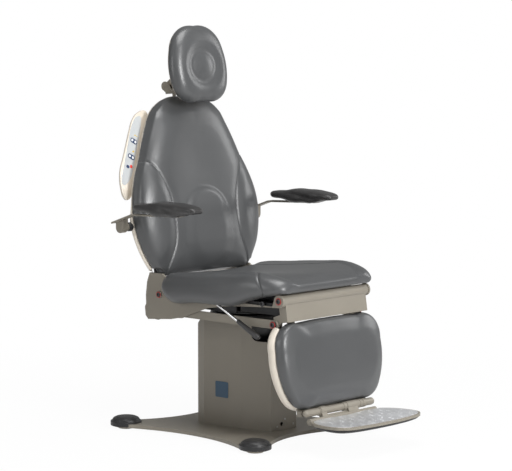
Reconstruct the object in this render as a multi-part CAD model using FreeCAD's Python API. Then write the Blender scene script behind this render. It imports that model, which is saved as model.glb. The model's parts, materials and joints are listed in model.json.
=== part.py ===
"""Powered ophthalmic examination chair, in millimetres.

Frame: +Z up, origin on the floor under the centre of the base. The chair faces -Y.
The patient's right is -X, and X = 0 is the plane of symmetry.
Parts of the back are drawn upright from the back pivot and then leant back.
Parts of the legrest are drawn upright from the ear pivot and then leant forward.
"""
import FreeCAD
import Part
import math
import os

V = FreeCAD.Vector
parts = {}

# Driving dimensions: floor, column and turning axis
plate_top = 21.0
plate_thick = 13.0
cover_top = 402.0
swivel_y = -17.0
turntable_top = 450.0

# Driving dimensions: pivots of the back and of the legrest
back_pivot_y = 197.0
back_pivot_z = 490.0
ear_pivot_y = -368.0
ear_pivot_z = 515.0
link_dy = 30.0
link_dz = -83.0
back_lean = 9.8
leg_lean = 8.4
footplate_tilt = 0.7

# Driving dimensions: widths of the chassis
side_plate_outer = 230.0
side_plate_thick = 8.0
bar_gap = 2.0
bar_thick = 8.0
bracket_gap = 1.0
bracket_thick = 8.0

# Driving dimensions: cushions
seat_half_width = 290.0
seat_rear = 150.0
seat_front = -398.0
seat_low = 476.0
seat_high = 590.0
back_half_width = 308.0
back_bottom = 60.0
back_height = 640.0
head_half_width = 137.0
head_height = 272.0
leg_half_width = 263.0
leg_cushion_top = -76.0
leg_cushion_height = 300.0
back_top = back_bottom + back_height

# Fits and clearances
running = 0.08
slide_gap = 0.1
move_gap = 0.4
open_pivot_gap = 0.5
overrun = 5.0

# Pins and shafts
pivot_pin_r = 8.0
crank_pin_r = 6.0
arm_shaft_r = 10.0
head_pin_r = 4.0

plate_bottom = plate_top - plate_thick
side_plate_inner = side_plate_outer - side_plate_thick
bar_outer = side_plate_inner - bar_gap
bar_inner = bar_outer - bar_thick
bracket_outer = bar_inner - bracket_gap
bracket_inner = bracket_outer - bracket_thick
deg = math.pi / 180


def box(x0, x1, y0, y1, z0, z1):
    """A block between two corners."""
    return Part.makeBox(x1 - x0, y1 - y0, z1 - z0, V(x0, y0, z0))


def rod(axis, a0, a1, c1, c2, r):
    """A cylinder along 'x', 'y' or 'z' from a0 to a1; c1 and c2 are the other two coordinates."""
    start = {"x": V(a0, c1, c2), "y": V(c1, a0, c2), "z": V(c1, c2, a0)}[axis]
    way = {"x": V(1, 0, 0), "y": V(0, 1, 0), "z": V(0, 0, 1)}[axis]
    return Part.makeCylinder(r, a1 - a0, start, way)


def cone(z0, z1, x, y, r0, r1):
    """A round taper along Z."""
    return Part.makeCone(r0, r1, z1 - z0, V(x, y, z0), V(0, 0, 1))


def sheet_yz(points, x0, x1):
    """A flat plate cut to an outline in the YZ plane, from x0 to x1."""
    corners = [V(x0, y, z) for y, z in points]
    face = Part.Face(Part.makePolygon(corners + corners[:1]))
    return face.extrude(V(x1 - x0, 0, 0))


def sheet_xy(points, z0, z1):
    """A flat plate cut to an outline in the XY plane, from z0 to z1."""
    corners = [V(x, y, z0) for x, y in points]
    face = Part.Face(Part.makePolygon(corners + corners[:1]))
    return face.extrude(V(0, 0, z1 - z0))


def sheet_xz(points, y0, y1):
    """A flat plate cut to an outline in the XZ plane, from y0 to y1."""
    corners = [V(x, y0, z) for x, z in points]
    face = Part.Face(Part.makePolygon(corners + corners[:1]))
    return face.extrude(V(0, y1 - y0, 0))


def mirrored(shape):
    """The same piece on the other side of the chair."""
    return shape.mirror(V(0, 0, 0), V(1, 0, 0))


def pair(shape):
    """A piece and its mirror image, as separate solids."""
    return Part.makeCompound([shape, mirrored(shape)])


def whole(first, *others):
    """One solid from several that overlap or touch."""
    return first.fuse(list(others)).removeSplitter()


def leant(shape, y, z, angle):
    """Turn a piece about the X axis through (y, z), its top going back."""
    turned = shape.copy()
    turned.rotate(V(0, y, z), V(-1, 0, 0), angle)
    return turned


def lean_back(shape):
    """Place a piece drawn on the upright back."""
    moved = shape.copy()
    moved.translate(V(0, back_pivot_y, back_pivot_z))
    return leant(moved, back_pivot_y, back_pivot_z, back_lean)


def lean_leg(shape):
    """Place a piece drawn on the upright legrest."""
    moved = shape.copy()
    moved.translate(V(0, ear_pivot_y, ear_pivot_z))
    return leant(moved, ear_pivot_y, ear_pivot_z, leg_lean)


def turned_point(dy, dz, angle):
    """Where a point (dy, dz) from a pivot goes when its piece leans by the angle."""
    c = math.cos(angle * deg)
    s = math.sin(angle * deg)
    return dy * c + dz * s, -dy * s + dz * c


def unleant_point(dy, dz, angle):
    """The point on the upright piece that leans to (dy, dz)."""
    return turned_point(dy, dz, -angle)


def outline_wire(arcs, half_width, low, height, depth, inset):
    """A closed outline in XZ at Y = depth, drawn in all round by inset.

    arcs lists points as shares of half_width and height, from the bottom up: the end of the
    flat bottom, then for each arc a point on it and its end. The last one is on the middle.
    """
    mid = low + height / 2
    sx = (half_width - inset) / half_width
    sz = (height / 2 - inset) / (height / 2)

    def place(share, side):
        x = side * share[0] * half_width * sx
        return V(x, depth, mid + (low + share[1] * height - mid) * sz)

    edges = [Part.makeLine(place(arcs[0], -1), place(arcs[0], 1))]
    for side, order in ((1, 1), (-1, -1)):
        runs = [arcs[i:i + 3] for i in range(0, len(arcs) - 2, 2)]
        for run in runs[::order]:
            a, b, c = [place(p, side) for p in run[::order]]
            edges.append(Part.Arc(a, b, c).toShape())
    return Part.Wire(edges)


def loft(wires):
    """A smooth closed solid through outlines."""
    return Part.makeLoft(wires, True, False)


def crowned(arcs, half_width, low, height, stations):
    """A cushion or shell: outlines at depths, each with its own inset."""
    return loft([outline_wire(arcs, half_width, low, height, d, i) for d, i in stations])


def add(name, shape):
    """Keep a finished sub-part under its node's name."""
    parts[name] = shape


# Base plate: a rectangle whose four sides draw in between round corners
foot_x_rear = 268.0
foot_y_rear = 332.0
foot_x_front = 290.0
foot_y_front = -316.0
corner_r = 48.0
side_waist = 251.0
rear_waist = 275.0
front_waist = -255.0
glide_r = 30.0
cap_r = 56.0
cap_low = 11.0
cap_step_z = 27.0
cap_step = 6.0
cap_high = 44.0
cap_top_r = 34.0


def foot_places():
    """The four corner centres, the front pair first."""
    return [(s * x, y) for x, y in ((foot_x_front, foot_y_front), (foot_x_rear, foot_y_rear))
            for s in (1, -1)]


def round_the(x, y, r, angle):
    return V(x + r * math.cos(angle * deg), y + r * math.sin(angle * deg), plate_bottom)


def base_plate():
    fx, fy = foot_x_front, foot_y_front
    rx, ry = foot_x_rear, foot_y_rear
    front = [round_the(fx, fy, corner_r, a) for a in (-110, -45, 20)]
    rear = [round_the(rx, ry, corner_r, a) for a in (-20, 45, 110)]
    flip = lambda p: V(-p.x, p.y, p.z)
    edges = [
        Part.Arc(*front).toShape(),
        Part.Arc(front[2], V(side_waist, 0, plate_bottom), rear[0]).toShape(),
        Part.Arc(*rear).toShape(),
        Part.Arc(rear[2], V(0, rear_waist, plate_bottom), flip(rear[2])).toShape(),
        Part.Arc(flip(rear[2]), flip(rear[1]), flip(rear[0])).toShape(),
        Part.Arc(flip(rear[0]), V(-side_waist, 0, plate_bottom), flip(front[2])).toShape(),
        Part.Arc(flip(front[2]), flip(front[1]), flip(front[0])).toShape(),
        Part.Arc(flip(front[0]), V(0, front_waist, plate_bottom), front[0]).toShape(),
    ]
    return Part.Face(Part.Wire(edges)).extrude(V(0, 0, plate_thick))


def corner_cap(x, y, plate):
    """A moulded cap that wraps the plate's corner, stepped on top."""
    skirt = rod("z", cap_low, cap_step_z, x, y, cap_r)
    dome = cone(cap_step_z, cap_high, x, y, cap_r - cap_step, cap_top_r)
    return whole(skirt, dome).cut(plate)


def make_base():
    plate = base_plate()
    add("base_plate", plate)
    add("corner_caps", Part.makeCompound([corner_cap(x, y, plate) for x, y in foot_places()]))
    add("floor_glides", Part.makeCompound([rod("z", 0, plate_bottom, x, y, glide_r)
                                           for x, y in foot_places()]))


# Column cover: folded sheet in two halves, chamfered behind and tapered in front
cover_rear_y = 152.0
cover_rear_x = 82.0
cover_side_y = 110.0
cover_side_x = 95.0
cover_bend_y = -67.0
cover_bend_x = 90.0
cover_front_y = -187.0
cover_front_x = 66.0
cover_wall = 2.5
seam_x = 16.0
seam_gap = 0.3
rear_cut = 25.0
window_z = 338.0
window_y = -107.0
window_r = 24.0
screw_r = 3.6
screw_head = 1.6
screw_places = [(5.0, 59.0), (-36.0, 36.0), (49.0, 37.0)]
notch_r = 7.0
notch_x = -11.0
notch_z = 43.0
badge_y = 25.0
badge_z = 152.0
badge_width = 60.0
badge_height = 57.0
badge_thick = 1.2
gland_z = 70.0
gland_r = 11.0
gland_nut_r = 15.0
gland_nut = 9.0
gland_length = 22.0


def cover_plan(inset):
    """The cover's plan, drawn in by inset."""
    return [
        (cover_rear_x - inset, cover_rear_y - inset),
        (cover_side_x - inset, cover_side_y - inset / 2),
        (cover_bend_x - inset, cover_bend_y),
        (cover_front_x - inset, cover_front_y + inset),
        (inset - cover_front_x, cover_front_y + inset),
        (inset - cover_bend_x, cover_bend_y),
        (inset - cover_side_x, cover_side_y - inset / 2),
        (inset - cover_rear_x, cover_rear_y - inset),
    ]


def column_cover():
    """The whole sheet tube with its window, its rear cut and its holes."""
    tube = sheet_xy(cover_plan(0), plate_top, cover_top)
    tube = tube.cut(sheet_xy(cover_plan(cover_wall), plate_top - overrun, cover_top + overrun))
    wide = cover_side_x + overrun
    rear = sheet_yz([(cover_rear_y + overrun, cover_top - rear_cut),
                     (cover_rear_y, cover_top - rear_cut), (cover_rear_y - rear_cut, cover_top),
                     (cover_rear_y - rear_cut, cover_top + overrun),
                     (cover_rear_y + overrun, cover_top + overrun)], -wide, wide)
    ahead = cover_front_y - overrun
    window = box(-wide, wide, ahead, window_y - window_r, window_z, cover_top + overrun)
    window = window.fuse(box(-wide, wide, ahead, window_y, window_z + window_r,
                             cover_top + overrun))
    window = window.fuse(rod("x", -wide, wide, window_y - window_r, window_z + window_r, window_r))
    tube = tube.cut(rear).cut(window)
    for x, z in screw_places:
        tube = tube.cut(rod("y", cover_front_y - overrun, cover_front_y + overrun, x, z,
                            screw_r / 2))
    tube = tube.cut(rod("y", cover_front_y - overrun, cover_front_y + overrun,
                        notch_x, notch_z, notch_r))
    hole = rod("y", cover_rear_y - overrun, cover_rear_y + overrun, 0, gland_z, gland_r)
    return tube.cut(hole)


def cover_screw(x, z):
    """A screw whose head lies on the cover."""
    head = rod("y", cover_front_y - screw_head, cover_front_y, x, z, screw_r)
    shank = rod("y", cover_front_y - screw_head, cover_front_y + cover_wall, x, z, screw_r / 2)
    return whole(head, shank)


def badge_plate():
    """A plain plate on the right side of the column; it follows the side's slight taper."""
    slope = (cover_side_x - cover_bend_x) / (cover_side_y - cover_bend_y)
    y0 = badge_y - badge_width / 2
    y1 = badge_y + badge_width / 2
    x0 = cover_bend_x + slope * (y0 - cover_bend_y)
    x1 = cover_bend_x + slope * (y1 - cover_bend_y)
    plan = [(-x0, y0), (-x1, y1), (-x1 - badge_thick, y1), (-x0 - badge_thick, y0)]
    low = badge_z - badge_height / 2
    return sheet_xy(plan, low, low + badge_height)


def make_cover():
    tube = column_cover()
    wide = cover_side_x + overrun
    right = box(-wide, seam_x, cover_front_y - overrun, cover_rear_y + overrun, 0, cover_top)
    left = box(seam_x + seam_gap, wide, cover_front_y - overrun, cover_rear_y + overrun, 0,
               cover_top)
    add("column_cover_right", tube.common(right))
    add("column_cover_left", tube.common(left))
    add("cover_screws", Part.makeCompound([cover_screw(x, z) for x, z in screw_places]))
    add("badge_plate", badge_plate())
    nut = rod("y", cover_rear_y, cover_rear_y + gland_nut, 0, gland_z, gland_nut_r)
    neck = rod("y", cover_rear_y - gland_nut, cover_rear_y + gland_length, 0, gland_z, gland_r)
    add("cord_gland", whole(nut, neck))


# Telescoping mast and lift drive
mast_outer_half = 62.0
mast_wall = 6.0
mast_inner_half = 52.0
mast_top = 380.0
mast_foot = 36.0
mast_guide_low = 300.0
head_plate_z = 405.0
head_plate_half = 70.0
head_plate_thick = 8.0
race_r = 136.0
race_thick = 17.0
race_gap = 0.4
table_r = 120.0
table_step_z = 440.0
table_upper_r = 100.0
spindle_r = 20.0
spindle_cap_r = 28.0
spindle_cap = 6.0
screw_drive_r = 25.0
screw_drive_low = 21.0
screw_drive_top = 320.0
screw_drive_bore = 10.0
screw_low = 60.0


def square_tube(half, wall, z0, z1):
    """A square tube round the turning axis."""
    outer = box(-half, half, swivel_y - half, swivel_y + half, z0, z1)
    inner = half - wall
    hollow = box(-inner, inner, swivel_y - inner, swivel_y + inner, z0 - overrun, z1 + overrun)
    return outer.cut(hollow)


def make_mast():
    outer = square_tube(mast_outer_half, mast_wall, plate_top, mast_top)
    guide_wall = mast_outer_half - mast_wall - mast_inner_half
    lips = square_tube(mast_outer_half - mast_wall, guide_wall - slide_gap, mast_guide_low,
                       mast_top)
    add("outer_mast", whole(outer, lips))
    add("inner_mast", square_tube(mast_inner_half, mast_wall, mast_foot, head_plate_z))
    drive = rod("z", screw_drive_low, screw_drive_top, 0, swivel_y, screw_drive_r)
    bore = rod("z", screw_drive_low + screw_drive_bore, screw_drive_top + overrun, 0, swivel_y,
               screw_drive_bore + running)
    add("lift_drive", drive.cut(bore))
    add("lift_screw", rod("z", screw_low, head_plate_z, 0, swivel_y, screw_drive_bore))


def make_swivel():
    plate_z = head_plate_z + head_plate_thick
    h = head_plate_half
    plate = box(-h, h, swivel_y - h, swivel_y + h, head_plate_z, plate_z)
    race = rod("z", plate_z, plate_z + race_thick, 0, swivel_y, race_r)
    cap_z = turntable_top + race_gap
    spindle = rod("z", plate_z, cap_z, 0, swivel_y, spindle_r)
    cap = rod("z", cap_z, cap_z + spindle_cap, 0, swivel_y, spindle_cap_r)
    add("swivel_base", whole(plate, race, spindle, cap))
    low = plate_z + race_thick + race_gap
    table = whole(rod("z", low, table_step_z, 0, swivel_y, table_r),
                  rod("z", table_step_z, turntable_top, 0, swivel_y, table_upper_r))
    add("turntable", table.cut(rod("z", low - overrun, turntable_top + overrun, 0, swivel_y,
                                   spindle_r + running)))


# Seat frame, pan, side plates
frame_side_gap = 32.0
frame_half = side_plate_inner - frame_side_gap
frame_front = -135.0
frame_rear = 95.0
frame_thick = 6.0
web_thick = 6.0
pan_bottom = 497.0
pan_thick = 8.0
pan_front = -330.0
pan_rear = 100.0
tongue_x0 = 60.0
tongue_x1 = 100.0
tongue_rear = 219.0
tongue_top = 462.0
ear_r = 22.0
side_plate_height = 168.0
side_plate_shares = [
    (1.09, 0.446), (1.113, 0.244), (1.124, -0.042), (1.122, -0.226), (1.133, -0.292),
    (1.127, -0.476), (1.104, -0.554), (0.904, -0.494), (0.844, -0.452), (0.811, -0.446),
    (0.745, -0.35), (0.68, -0.268), (0.598, -0.173), (0.52, -0.125), (0.386, -0.06),
    (0.104, 0.006), (0.0, 0.018), (0.0, 0.26), (0.032, 0.22), (0.053, 0.03),
    (0.92, 0.03), (0.92, 0.298), (0.979, 0.446)]
rail_bolt_dy = 74.0
rail_bolt_dz = -14.0
rail_bolt_r = 10.0
rail_bolt_head = 5.0
rail_bolt_shank = 5.0
pivot_head_r = 11.0
pivot_head = 6.0
ear_bolt_inner = 195.0
box_half = 185.0
box_front = -330.0
box_rear = -150.0
box_bottom = 458.0
gearbox_x0 = 58.0
gearbox_x1 = 102.0
gearbox_r = 26.0
motor_r = 20.0
motor_front = 105.0
motor_drop = 8.0
lever_dy = -80.0
lever_dz = 492.0
lever_pin_r = 5.0


def side_plate():
    """Left side plate: a high rear end for the back, a slim rail and an ear for the legrest."""
    span = back_pivot_y - ear_pivot_y
    points = [(ear_pivot_y + sy * span, back_pivot_z + sz * side_plate_height)
              for sy, sz in side_plate_shares]
    body = sheet_yz(points, side_plate_inner, side_plate_outer)
    ear = rod("x", side_plate_inner, side_plate_outer, ear_pivot_y, ear_pivot_z, ear_r)
    plate = whole(body, ear)
    low = side_plate_inner - overrun
    high = side_plate_outer + overrun
    plate = plate.cut(rod("x", low, high, back_pivot_y, back_pivot_z, pivot_pin_r + running))
    plate = plate.cut(rod("x", low, high, ear_pivot_y, ear_pivot_z, pivot_pin_r))
    bolt_y = ear_pivot_y + rail_bolt_dy
    bolt_z = ear_pivot_z + rail_bolt_dz
    return plate.cut(rod("x", low, high, bolt_y, bolt_z, rail_bolt_shank))


def make_chassis():
    low = turntable_top
    plate = box(-frame_half, frame_half, frame_front, frame_rear, low, low + frame_thick)
    plate = plate.cut(rod("z", low - overrun, low + frame_thick + overrun, 0, swivel_y,
                          spindle_cap_r + overrun))
    flange_z = pan_bottom - frame_thick
    web = box(frame_half - web_thick, frame_half, frame_front, frame_rear, low, pan_bottom)
    flange = box(frame_half - web_thick, side_plate_inner, frame_front, frame_rear, flange_z,
                 pan_bottom)
    tongue = box(tongue_x0, tongue_x1, frame_rear - frame_thick, tongue_rear, low, tongue_top)
    add("seat_frame", whole(plate, web, mirrored(web), flange, mirrored(flange), tongue))
    add("seat_pan", box(-side_plate_inner, side_plate_inner, pan_front, pan_rear, pan_bottom,
                        pan_bottom + pan_thick))
    left = side_plate()
    add("side_plate_left", left)
    hole = rod("x", -side_plate_outer - overrun, -side_plate_inner + overrun, lever_dy, lever_dz,
               lever_pin_r + running)
    add("side_plate_right", mirrored(left).cut(hole))
    bolt_y = ear_pivot_y + rail_bolt_dy
    bolt_z = ear_pivot_z + rail_bolt_dz
    head = rod("x", side_plate_outer, side_plate_outer + rail_bolt_head, bolt_y, bolt_z,
               rail_bolt_r)
    shank = rod("x", side_plate_inner, side_plate_outer, bolt_y, bolt_z, rail_bolt_shank)
    add("rail_bolts", pair(whole(head, shank)))
    head = rod("x", side_plate_outer, side_plate_outer + pivot_head, ear_pivot_y, ear_pivot_z,
               pivot_head_r)
    shank = rod("x", ear_bolt_inner, side_plate_outer, ear_pivot_y, ear_pivot_z, pivot_pin_r)
    add("ear_bolts", pair(whole(head, shank)))
    add("control_box", box(-box_half, box_half, box_front, box_rear, box_bottom, pan_bottom))
    gearbox = rod("x", gearbox_x0, gearbox_x1, back_pivot_y, back_pivot_z, gearbox_r)
    foot = box(tongue_x0, tongue_x1, back_pivot_y - gearbox_r * 0.8, tongue_rear, tongue_top,
               back_pivot_z)
    motor = rod("y", motor_front, back_pivot_y, (tongue_x0 + tongue_x1) / 2,
                back_pivot_z - motor_drop, motor_r)
    gear = whole(gearbox, foot, motor)
    add("recline_gearmotor", gear.cut(rod("x", gearbox_x0 - overrun, gearbox_x1 + overrun,
                                          back_pivot_y, back_pivot_z, pivot_pin_r + running)))


# Seat cushion: wide bolsters at the sides, a dished middle and a front roll
seat_clear = 2.5
ear_clear = 3.0
lip = 35.0
rim_width = 75.0
lever_pocket_y0 = -130.0
lever_pocket_y1 = -55.0
lever_pocket_x = 257.0
# Each station: share of the length from the rear, then half width, underside, rim and middle
seat_station_shares = [
    (0.0, 0.93, 0.18, 0.68, 0.65), (0.055, 0.985, 0.04, 0.8, 0.74),
    (0.2, 1.0, 0.0, 0.87, 0.765), (0.474, 1.0, 0.05, 0.985, 0.845),
    (0.63, 0.99, 0.12, 1.04, 0.9), (0.717, 0.975, 0.28, 1.06, 0.935),
    (0.803, 0.95, 0.4, 1.04, 0.955), (0.912, 0.905, 0.5, 0.94, 0.92),
    (0.976, 0.84, 0.55, 0.85, 0.84), (1.0, 0.765, 0.57, 0.75, 0.745)]


def seat_section(share):
    """One cross-section of the seat cushion, at its own place along the seat."""
    along, wide, under, rim, middle = share
    y = seat_rear + along * (seat_front - seat_rear)
    w = wide * seat_half_width
    tall = seat_high - seat_low
    z0 = seat_low + under * tall
    z1 = seat_low + rim * tall
    zc = seat_low + middle * tall
    rise = z1 - z0
    points = [(w - lip, z0), (w - lip / 5, z0 + rise / 6), (w, z0 + rise / 2),
              (w - lip / 3, z0 + rise * 0.87), (w - rim_width, z1),
              ((w - rim_width) / 2, zc + (z1 - zc) * 0.3), (0, zc)]
    edges = [Part.makeLine(V(lip - w, y, z0), V(w - lip, y, z0))]
    for i in (0, 2, 4):
        a, b, c = [V(x, y, z) for x, z in points[i:i + 3]]
        edges.append(Part.Arc(a, b, c).toShape())
    for i in (4, 2, 0):
        c, b, a = [V(-x, y, z) for x, z in points[i:i + 3]]
        edges.append(Part.Arc(a, b, c).toShape())
    return Part.Wire(edges)


def make_seat():
    pan_top = pan_bottom + pan_thick
    cushion = loft([seat_section(s) for s in seat_station_shares])
    inner = side_plate_outer + seat_clear
    below = seat_low - 4 * overrun
    back_end = seat_rear + overrun
    ear_top = ear_pivot_z + ear_r + ear_clear
    ear_back = ear_pivot_y + ear_r + 4 * ear_clear
    cushion = cushion.cut(box(-inner, inner, ear_back, back_end, below, pan_top))
    cushion = cushion.cut(box(-inner, inner, seat_front - overrun, ear_back, below, ear_top))
    core = box(-frame_half, frame_half, pan_front, pan_rear, pan_top,
               seat_low + (seat_high - seat_low) * 0.5)
    pocket = box(-lever_pocket_x, -side_plate_outer, lever_pocket_y0, lever_pocket_y1, below,
                 lever_dz + ear_r)
    add("seat_cushion", whole(cushion, core).cut(pocket))


# Swivel brake lever on the right side plate
lever_x = 245.0
lever_slope = 27.0
lever_rod_r = 5.0
lever_rod_length = 128.0
grip_length = 100.0
grip_r0 = 7.5
grip_r1 = 10.5
lever_hub_r = 11.0
lever_hub_half = 7.0


def make_lever():
    c = math.cos(lever_slope * deg)
    s = math.sin(lever_slope * deg)
    way = V(0, -c, -s)
    start = V(-lever_x, lever_dy, lever_dz)
    hub = rod("x", -lever_x - lever_hub_half, -lever_x + lever_hub_half, lever_dy, lever_dz,
              lever_hub_r)
    pin = rod("x", -lever_x, -side_plate_inner, lever_dy, lever_dz, lever_pin_r)
    bar = Part.makeCylinder(lever_rod_r, lever_rod_length + grip_length / 2, start, way)
    lever = whole(hub, pin, bar)
    root = start + way * lever_rod_length
    grip = Part.makeCone(grip_r0, grip_r1, grip_length, root, way)
    tip = Part.makeSphere(grip_r1, root + way * grip_length)
    add("brake_lever", lever)
    add("brake_grip", whole(grip, tip).cut(bar))


# Push bars between the back brackets and the legrest panel
bar_height = 29.0
bar_crank_y = 85.0
bar_eye_r = 10.0
bar_front_r = 14.5


def push_bar():
    """Left push bar: level in front, cranked down to the rear eye."""
    front_y = ear_pivot_y + link_dy
    front_z = ear_pivot_z + link_dz
    rear_y = back_pivot_y + link_dy
    rear_z = back_pivot_z + link_dz
    half = bar_height / 2
    straight = box(bar_inner, bar_outer, front_y, bar_crank_y, front_z - half, front_z + half)
    crank = sheet_yz([(bar_crank_y, front_z - half), (bar_crank_y, front_z + half),
                      (rear_y + bar_eye_r / 2, rear_z + bar_eye_r * 0.85),
                      (rear_y - bar_eye_r / 3, rear_z - bar_eye_r * 0.9)], bar_inner, bar_outer)
    eyes = [rod("x", bar_inner, bar_outer, front_y, front_z, bar_front_r),
            rod("x", bar_inner, bar_outer, rear_y, rear_z, bar_eye_r)]
    bar = whole(straight, crank, *eyes)
    low = bar_inner - overrun
    high = bar_outer + overrun
    bar = bar.cut(rod("x", low, high, front_y, front_z, pivot_pin_r + running))
    return bar.cut(rod("x", low, high, rear_y, rear_z, crank_pin_r + open_pivot_gap))


# Back frame, drawn upright from the back pivot: Y is rearward, Z is up the back
back_face = 12.0
bracket_hub_r = 22.0
bracket_eye_r = 12.0
bracket_top_share = 0.422
bracket_depth = 34.0
cross_shares = (0.094, 0.375)
cross_height = 30.0
spine_half = 60.0
spine_drop = 60.0
frame_sheet = 6.0
arm_axis_v = 28.6
arm_axis_share = 0.2984375
arm_tube_r = 14.0
arm_tube_end = 285.0
collar_r = 16.0
collar_end = 320.0
stem_v = 30.0
stem_half_x = 5.0
stem_half_v = 4.5
guide_half = 22.0
guide_wall = 7.0
guide_drop = 45.0
guide_length = 95.0
arm_axis_u = back_bottom + arm_axis_share * back_height
bracket_top = back_bottom + bracket_top_share * back_height
cross_low = back_bottom + cross_shares[0] * back_height
cross_high = back_bottom + cross_shares[1] * back_height
spine_top = back_top - spine_drop
guide_high = back_top - guide_drop
guide_low = guide_high - guide_length


def make_back_frame():
    eye_v, eye_u = unleant_point(link_dy, link_dz, back_lean)
    front = back_face + move_gap
    rear = bracket_depth
    hub = rod("x", bracket_inner, bracket_outer, 0, 0, bracket_hub_r)
    eye = rod("x", bracket_inner, bracket_outer, eye_v, eye_u, bracket_eye_r)
    tall = sheet_yz([(-bracket_hub_r * 0.9, bracket_hub_r * 0.4), (front, 2.4 * bracket_hub_r),
                     (front, bracket_top), (rear, bracket_top), (rear, 2.4 * bracket_hub_r),
                     (bracket_hub_r, 0)], bracket_inner, bracket_outer)
    arm = sheet_yz([(-bracket_hub_r * 0.8, -bracket_hub_r * 0.6),
                    (eye_v - bracket_eye_r * 0.9, eye_u - bracket_eye_r * 0.4),
                    (eye_v + bracket_eye_r * 0.9, eye_u + bracket_eye_r * 0.4),
                    (bracket_hub_r * 0.9, bracket_hub_r * 0.3)], bracket_inner, bracket_outer)
    bracket = whole(hub, eye, tall, arm)
    bore = rod("x", bracket_inner - overrun, bracket_outer + overrun, 0, 0, pivot_pin_r)
    bracket = bracket.cut(bore)
    pin = rod("x", bracket_inner, bar_outer, eye_v, eye_u, crank_pin_r)
    side = whole(bracket, pin)
    wide = bracket_inner + frame_sheet
    crosses = [box(-wide, wide, front, front + frame_sheet, u, u + cross_height)
               for u in (cross_low, cross_high)]
    spine = box(-spine_half, spine_half, front, front + frame_sheet, cross_low, spine_top)
    tube = rod("x", -arm_tube_end, arm_tube_end, arm_axis_v, arm_axis_u, arm_tube_r)
    tube_bore = rod("x", -arm_tube_end - overrun, arm_tube_end + overrun, arm_axis_v, arm_axis_u,
                    arm_shaft_r + running)
    frame = whole(side, mirrored(side), *crosses, spine, tube)
    add("back_frame", lean_back(frame.cut(tube_bore)))
    shaft = rod("x", -side_plate_outer - pivot_head / 3, side_plate_outer + pivot_head / 3, 0, 0,
                pivot_pin_r)
    head = rod("x", side_plate_outer + move_gap, side_plate_outer + pivot_head, 0, 0,
               pivot_head_r)
    add("back_pivot_shaft", lean_back(whole(shaft, head, mirrored(head))))
    guide_front = front + frame_sheet
    guide_rear = stem_v + stem_half_v + guide_wall
    guide = box(-guide_half, guide_half, guide_front, guide_rear, guide_low, guide_high)
    slot = box(-stem_half_x - slide_gap, stem_half_x + slide_gap, stem_v - stem_half_v - slide_gap,
               stem_v + stem_half_v + slide_gap, guide_low - overrun, guide_high + overrun)
    add("stem_guide", lean_back(guide.cut(slot)))
    collar = rod("x", arm_tube_end, collar_end, arm_axis_v, arm_axis_u, collar_r)
    collar = collar.cut(rod("x", arm_tube_end - overrun, collar_end + overrun, arm_axis_v,
                            arm_axis_u, arm_shaft_r + running))
    add("arm_collars", lean_back(pair(collar)))


# Back cushion and shell
back_shares = [
    (0.62, 0.0), (0.735, 0.012), (0.795, 0.052), (0.935, 0.18), (1.0, 0.345), (0.935, 0.52),
    (0.793, 0.665), (0.66, 0.81), (0.562, 0.9), (0.365, 0.975), (0.0, 1.0)]
back_stations = [(12.0, 5.0), (2.0, 1.0), (-12.0, 3.0), (-28.0, 4.0), (-42.0, 18.0),
                 (-52.0, 48.0), (-58.0, 110.0)]
shell_wall = 4.0
shell_stations = [(12.0, 2.0), (26.0, 0.0), (33.0, 9.0), (42.0, 32.0), (52.0, 66.0),
                  (60.0, 110.0)]
boss_r = 9.0
boss_x = 44.0
boss_shares = (0.2, 0.66)
side_relief = 93.0
notch_half = 7.0
pod_front = 42.0
pod_thick = 24.0
pod_rim = 5.0
pod_draft_share = 0.085
pod_outer_shares = [(0.464, 0.931), (0.6, 0.926), (0.695, 0.885), (0.752, 0.838), (0.836, 0.756),
                    (0.919, 0.675), (0.979, 0.62), (1.006, 0.567), (1.007, 0.512), (0.988, 0.468),
                    (0.945, 0.448)]
pod_inner_shares = [(0.86, 0.46), (0.72, 0.58), (0.56, 0.74), (0.42, 0.9)]
keypad_thick = 1.5
keypad_shares = [(0.562, 0.903), (0.626, 0.905), (0.692, 0.877), (0.753, 0.831), (0.821, 0.755),
                 (0.945, 0.614), (0.99, 0.561), (0.987, 0.54), (0.962, 0.53), (0.928, 0.535),
                 (0.864, 0.557), (0.805, 0.6), (0.701, 0.716), (0.568, 0.872)]
key_proud = 0.8
key_thick = 2.0
key_gap = 0.4
key_pocket = 1.6
twin_key_length = 34.0
twin_key_width = 17.0
twin_key_turn = 30.0
small_key_length = 15.0
small_key_width = 11.0
back_key_shares = (0.7245, 0.7703)
lift_key_shares = (0.7955, 0.6844)
return_key_shares = (0.8701, 0.6313)
rib_r = 1.8
rib_v = 43.0
rib_inset = 1.5


def shell_dish(arcs, half_width, low, height, stations):
    """A moulded dish, open in front, with an even wall."""
    outer = crowned(arcs, half_width, low, height, stations)
    first = stations[0][0]
    cavity = [(first - overrun, stations[0][1] + shell_wall)]
    cavity += [(d, i + shell_wall) for d, i in stations[:-1]]
    cavity += [(stations[-1][0] - shell_wall, stations[-1][1] + 2 * shell_wall)]
    return outer, outer.cut(crowned(arcs, half_width, low, height, cavity))


def side_relief_cut(shape):
    """Free the wide lower corners from the high rear ends of the side plates."""
    far = back_half_width + overrun
    inner = side_plate_inner - bar_gap
    ring = rod("x", inner, far, 0, 0, side_relief)
    return shape.cut(ring).cut(mirrored(ring))


def key_place(shares):
    """A key's place on the pod, from its shares of the back's half width and height."""
    return V(-shares[0] * back_half_width, 0, back_bottom + shares[1] * back_height)


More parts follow.
